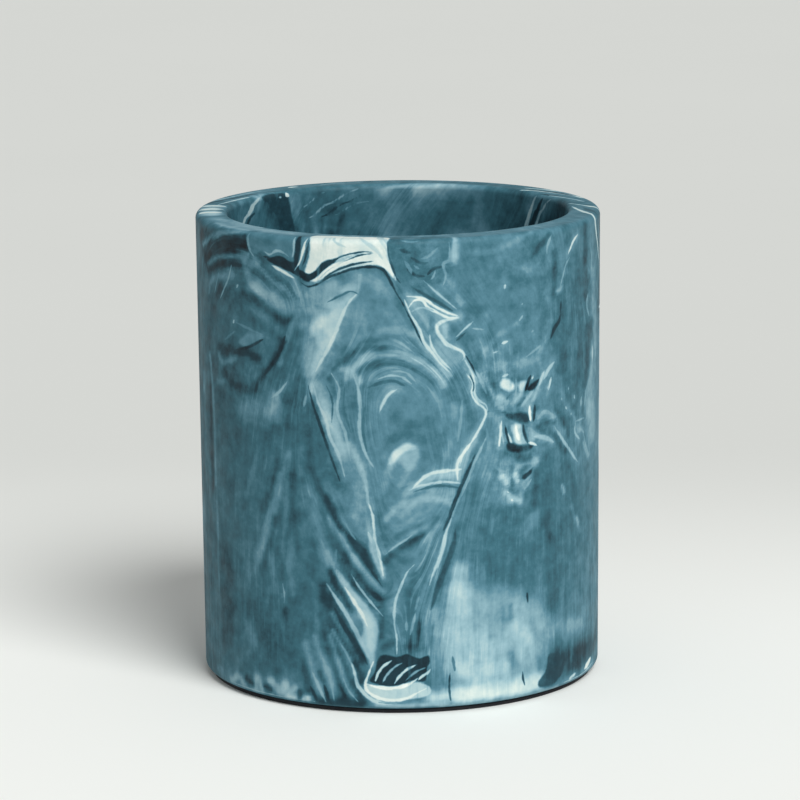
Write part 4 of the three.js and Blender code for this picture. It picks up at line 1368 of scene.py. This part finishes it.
def add_bump(tree, shader, height, strength, distance):
    inputs = {"Height": height, "Strength": strength, "Distance": distance}
    bump = node(tree, "ShaderNodeBump", inputs)
    tree.links.new(bump.outputs["Normal"], shader.inputs["Normal"])


def new_material(name):
    material = bpy.data.materials.new(name)
    material.use_nodes = True
    tree = material.node_tree
    return material, tree, tree.nodes["Principled BSDF"]


def give(obj, material):
    obj.data.materials.clear()
    obj.data.materials.append(material)


def mark_group():
    """Lays one layer of marks over the tone beneath it."""
    tree = bpy.data.node_groups.new("lay_marks", "ShaderNodeTree")
    kinds = {
        "Under": "Float",
        "Shape": "Vector",
        "Manner": "Vector",
        "Wobble": "Float",
        "Thin": "Float",
    }
    for name, kind in kinds.items():
        tree.interface.new_socket(name, in_out="INPUT", socket_type="NodeSocket" + kind)
    tree.interface.new_socket("Tone", in_out="OUTPUT", socket_type="NodeSocketFloat")
    given = tree.nodes.new("NodeGroupInput").outputs
    shape = node(tree, "ShaderNodeSeparateXYZ", {0: given["Shape"]}).outputs
    manner = node(tree, "ShaderNodeSeparateXYZ", {0: given["Manner"]}).outputs
    off = calculate(tree, "ABSOLUTE", shape[0])
    outside = calculate(tree, "ADD", calculate(tree, "SUBTRACT", off, shape[1]), given["Wobble"])
    inner_edge = calculate(tree, "MULTIPLY", manner[0], -1.0)
    covered = smoothed(tree, outside, inner_edge, manner[0], 1.0, 0.0)
    strength = calculate(tree, "MULTIPLY", covered, manner[1])
    share = calculate(tree, "MULTIPLY", strength, given["Thin"])
    out = tree.nodes.new("NodeGroupOutput")
    tree.links.new(mixed_tone(tree, share, given["Under"], shape[2]), out.inputs["Tone"])
    return tree


# The plastic's textures. Scales are noise per metre, across is noise per level of the flow, and
# amounts are tone.
BROAD_SCALE = 50
BROAD_ACROSS = 0.28
BROAD_AMOUNT = 0.32
FINE_SCALE = 120
FINE_ACROSS = 0.75
FINE_AMOUNT = 0.22
FINE_AMOUNT_ON_MARKS = 0.16
THREAD_SCALE = 130
THREAD_ACROSS = 1.4
CLOUD_SCALE = 330
CLOUD_AMOUNT = 0.08
GRAIN_SCALE = 1100
GRAIN_AMOUNT = 0.07
WOBBLE_SCALE = 700
WOBBLE = 0.5  # mm that the edge of a mark wanders, side to side

# Threads: the noise at which they start and are full, and the tone that they add
PALE_THREADS = (0.56, 0.68, 0.12)
DARK_THREADS = (0.44, 0.32, -0.08)
PATCH_SCALE = 60  # of the patches in which threads show
PATCH_EDGE = (0.40, 0.62)

# Marks are weaker where the fine streaks are low: noise from and to, strength from and to
WEAKER_MARKS = (0.30, 0.50, 0.66, 1.0)

# Surface: roughness from and to, bump strength and height in metres
PLASTIC_ROUGHNESS = (0.50, 0.62)
PLASTIC_ROUGHNESS_SCALE = 260
PLASTIC_BUMP = (0.12, 0.0002)
PLASTIC_BUMP_SCALE = 220
PLASTIC_FINE_BUMP_SCALE = 1500
PLASTIC_SPECULAR = 0.16


def marbled_plastic(layer_count):
    material, tree, shader = new_material("marbled_plastic")
    place = own_place(tree)
    flow = read(tree, "flow", "Fac")

    # Soft strokes along the flow, clouds, grain, and thin pale and dark threads with an edge
    lively = read(tree, "lively", "Fac")
    broad = streaks(tree, place, flow, BROAD_SCALE, BROAD_ACROSS)
    fine = streaks(tree, place, flow, FINE_SCALE, FINE_ACROSS)
    threads = streaks(tree, place, flow, THREAD_SCALE, THREAD_ACROSS, detail=1.0)
    clouds = noise(tree, place, CLOUD_SCALE, 4.0, 0.62)
    grain = noise(tree, place, GRAIN_SCALE, 2.0, 0.6)
    tone = read(tree, "tone", "Fac")
    for streak, amount in ((broad, BROAD_AMOUNT), (fine, FINE_AMOUNT)):
        varied = calculate(tree, "MULTIPLY", centred(tree, streak), lively)
        tone = calculate(tree, "MULTIPLY_ADD", varied, amount, tone)
    tone = calculate(tree, "MULTIPLY_ADD", centred(tree, clouds), CLOUD_AMOUNT, tone)
    patches = smoothed(tree, noise(tree, place, PATCH_SCALE, 1.0), *PATCH_EDGE)
    here = calculate(tree, "MULTIPLY", patches, lively)
    for start, full, amount in (PALE_THREADS, DARK_THREADS):
        shown = calculate(tree, "MULTIPLY", smoothed(tree, threads, start, full), here)
        tone = calculate(tree, "MULTIPLY_ADD", shown, amount, tone)

    # The crisp marks, layer over layer, with slightly uneven edges
    wobble = calculate(tree, "MULTIPLY", centred(tree, noise(tree, place, WOBBLE_SCALE)), WOBBLE)
    thin = smoothed(tree, fine, *WEAKER_MARKS)
    group = mark_group()
    for i in range(layer_count):
        inputs = {
            "Under": tone,
            "Shape": read(tree, f"shape_{i}", "Vector"),
            "Manner": read(tree, f"manner_{i}", "Vector"),
            "Wobble": wobble,
            "Thin": thin,
        }
        tone = node(tree, "ShaderNodeGroup", inputs, node_tree=group).outputs["Tone"]
    faint = calculate(tree, "MULTIPLY", lively, FINE_AMOUNT_ON_MARKS)
    cloudy = read(tree, "cloudy", "Fac")
    for texture, amount in ((clouds, cloudy), (fine, faint), (grain, GRAIN_AMOUNT)):
        tone = calculate(tree, "MULTIPLY_ADD", centred(tree, texture), amount, tone)

    ramp = node(tree, "ShaderNodeValToRGB", {0: tone})
    band = ramp.color_ramp
    band.elements[0].position, band.elements[0].color = TONE_COLOURS[0]
    band.elements[1].position, band.elements[1].color = TONE_COLOURS[-1]
    for position, value in TONE_COLOURS[1:-1]:
        band.elements.new(position).color = value
    tree.links.new(ramp.outputs["Color"], shader.inputs["Base Color"])
    uneven = noise(tree, place, PLASTIC_ROUGHNESS_SCALE, 3.0)
    add_roughness(tree, shader, uneven, *PLASTIC_ROUGHNESS)
    coarse_bump = noise(tree, place, PLASTIC_BUMP_SCALE)
    fine_bump = noise(tree, place, PLASTIC_FINE_BUMP_SCALE)
    height = calculate(tree, "MULTIPLY_ADD", fine_bump, 0.5, coarse_bump)
    add_bump(tree, shader, height, *PLASTIC_BUMP)
    shader.inputs["Specular IOR Level"].default_value = PLASTIC_SPECULAR
    return material


# The pad's rubber, in the same form
RUBBER_DARK = colour(9, 10, 16)
RUBBER_PALE = colour(17, 19, 28)
RUBBER_DUST = colour(62, 66, 74)
RUBBER_DUST_SHARE = 0.35
RUBBER_DUST_EDGE = (0.60, 0.74)
RUBBER_DUST_SCALE = 1400
RUBBER_CLOUD_SCALE = 90
RUBBER_ROUGHNESS = (0.68, 0.88)
RUBBER_BUMP = (0.5, 0.0003)
RUBBER_BUMP_SCALE = 1100


def pad_rubber():
    material, tree, shader = new_material("pad_rubber")
    place = own_place(tree)
    cloudy = noise(tree, place, RUBBER_CLOUD_SCALE, 3.0)
    specks = smoothed(tree, noise(tree, place, RUBBER_DUST_SCALE, 2.0, 0.7), *RUBBER_DUST_EDGE)
    dust = calculate(tree, "MULTIPLY", specks, RUBBER_DUST_SHARE)
    base = mixed_colour(tree, cloudy, RUBBER_DARK, RUBBER_PALE)
    dusty = mixed_colour(tree, dust, base, RUBBER_DUST)
    tree.links.new(dusty, shader.inputs["Base Color"])
    add_roughness(tree, shader, cloudy, *RUBBER_ROUGHNESS)
    add_bump(tree, shader, noise(tree, place, RUBBER_BUMP_SCALE, 3.0, 0.6), *RUBBER_BUMP)
    return material


# The film, in the same form
FILM_DARK = colour(186, 190, 184)
FILM_PALE = colour(206, 209, 203)
FILM_SMEAR_SCALE = 140
FILM_ROUGHNESS = (0.25, 0.45)
FILM_BUMP = (0.2, 0.0002)


def adhesive_film():
    material, tree, shader = new_material("adhesive_film")
    smear = noise(tree, own_place(tree), FILM_SMEAR_SCALE, 3.0)
    base = mixed_colour(tree, smear, FILM_DARK, FILM_PALE)
    tree.links.new(base, shader.inputs["Base Color"])
    add_roughness(tree, shader, smear, *FILM_ROUGHNESS)
    add_bump(tree, shader, smear, *FILM_BUMP)
    return material


def build_pad():
    """The die-cut rubber disc, with its slightly crushed edges."""
    corners = [
        ((0, 0), 0),
        ((PAD_RADIUS, 0), PAD_EDGE_ROUND),
        ((PAD_RADIUS, PAD_THICKNESS), PAD_EDGE_ROUND),
        ((0, PAD_THICKNESS), 0),
    ]
    profile = turned_profile(corners, lambda a, b: PAD_SPACING)
    angles = np.linspace(0, 2 * math.pi, PAD_COLUMNS, endpoint=False)
    obj, _ = turned_mesh("rubber_pad", profile, angles, lambda points: points[:, 1])
    return obj


# The studio: a pale floor, painted darker towards the back as painted shade, a soft sun, a weak lamp and
# an even sky. Lengths are in metres.
FLOOR_HALF_WIDTH = 4.0
FLOOR_SHADE_START_DEPTH = 0.0  # where the painted shade on the floor starts, darker towards the back
FLOOR_SHADE_FULL_DEPTH = 0.22
FLOOR_NEAR_COLOUR = colour(238, 240, 237)
FLOOR_PAINTED_SHADE_COLOUR = colour(208, 210, 207)
FLOOR_CLOUD_COLOUR = colour(224, 225, 222)
FLOOR_CLOUD_SHARE = 0.15
FLOOR_CLOUD_SCALE = 6
FLOOR_ROUGHNESS = 0.8
FLOOR_SPECULAR = 0.2

SUN_PLACE = (0.341, -0.591, 0.731)  # it shines from there to the origin
SUN_STRENGTH = 2.8
SUN_COLOUR = (1.0, 1.0, 0.99)
SUN_ANGLE_DEG = 32
LAMP_PLACE = (-0.9, -1.0, 0.6)
LAMP_TARGET = (0, 0, 0.05)
LAMP_POWER = 0.8
LAMP_COLOUR = (0.97, 0.99, 1.0)
LAMP_SIZE = 0.8
SKY_COLOUR = (0.93, 0.93, 0.92, 1)
SKY_STRENGTH = 0.43


def build_floor():
    mesh = bpy.data.meshes.new("floor")
    ways = ((-1, -1), (1, -1), (1, 1), (-1, 1))
    corners = [(FLOOR_HALF_WIDTH * x, FLOOR_HALF_WIDTH * y, 0) for x, y in ways]
    mesh.from_pydata(corners, [], [(0, 1, 2, 3)])
    obj = add_object("floor", mesh)
    material, tree, shader = new_material("floor_paper_painted_shade")
    place = own_place(tree)
    # The floor's colour darkens towards the back: painted shade, standing in for the light falling off
    # away from the cup.
    depth = node(tree, "ShaderNodeSeparateXYZ", {0: place}).outputs[1]
    painted_shade_share = smoothed(tree, depth, FLOOR_SHADE_START_DEPTH, FLOOR_SHADE_FULL_DEPTH)
    paper_and_painted_shade = mixed_colour(tree, painted_shade_share, FLOOR_NEAR_COLOUR, FLOOR_PAINTED_SHADE_COLOUR)
    clouds = noise(tree, place, FLOOR_CLOUD_SCALE, 3.0)
    cloudy = calculate(tree, "MULTIPLY", clouds, FLOOR_CLOUD_SHARE)
    base = mixed_colour(tree, cloudy, paper_and_painted_shade, FLOOR_CLOUD_COLOUR)
    tree.links.new(base, shader.inputs["Base Color"])
    shader.inputs["Roughness"].default_value = FLOOR_ROUGHNESS
    shader.inputs["Specular IOR Level"].default_value = FLOOR_SPECULAR
    obj.data.materials.append(material)


def add_light(name, kind, place, target, power, tint):
    data = bpy.data.lights.new(name, kind)
    data.energy = power
    data.color = tint
    obj = add_object(name, data)
    obj.location = place
    obj.rotation_euler = (Vector(target) - Vector(place)).to_track_quat("-Z", "Y").to_euler()
    return data


def build_light():
    sun = add_light("sun", "SUN", SUN_PLACE, (0, 0, 0), SUN_STRENGTH, SUN_COLOUR)
    sun.angle = math.radians(SUN_ANGLE_DEG)
    lamp = add_light("lamp", "AREA", LAMP_PLACE, LAMP_TARGET, LAMP_POWER, LAMP_COLOUR)
    lamp.size = LAMP_SIZE
    world = bpy.data.worlds.new("studio")
    world.use_nodes = True
    background = world.node_tree.nodes["Background"]
    background.inputs["Color"].default_value = SKY_COLOUR
    background.inputs["Strength"].default_value = SKY_STRENGTH
    bpy.context.scene.world = world


cup, layer_count = build_cup()
give(cup, marbled_plastic(layer_count))
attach(cup, "root")
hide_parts("cup_body")

pad = build_pad()
give(pad, pad_rubber())
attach(pad, "root")
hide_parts("base_pad")

give(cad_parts["pad_adhesive"], adhesive_film())

build_floor()
build_light()
add_camera()
bpy.context.scene.view_settings.view_transform = "Standard"
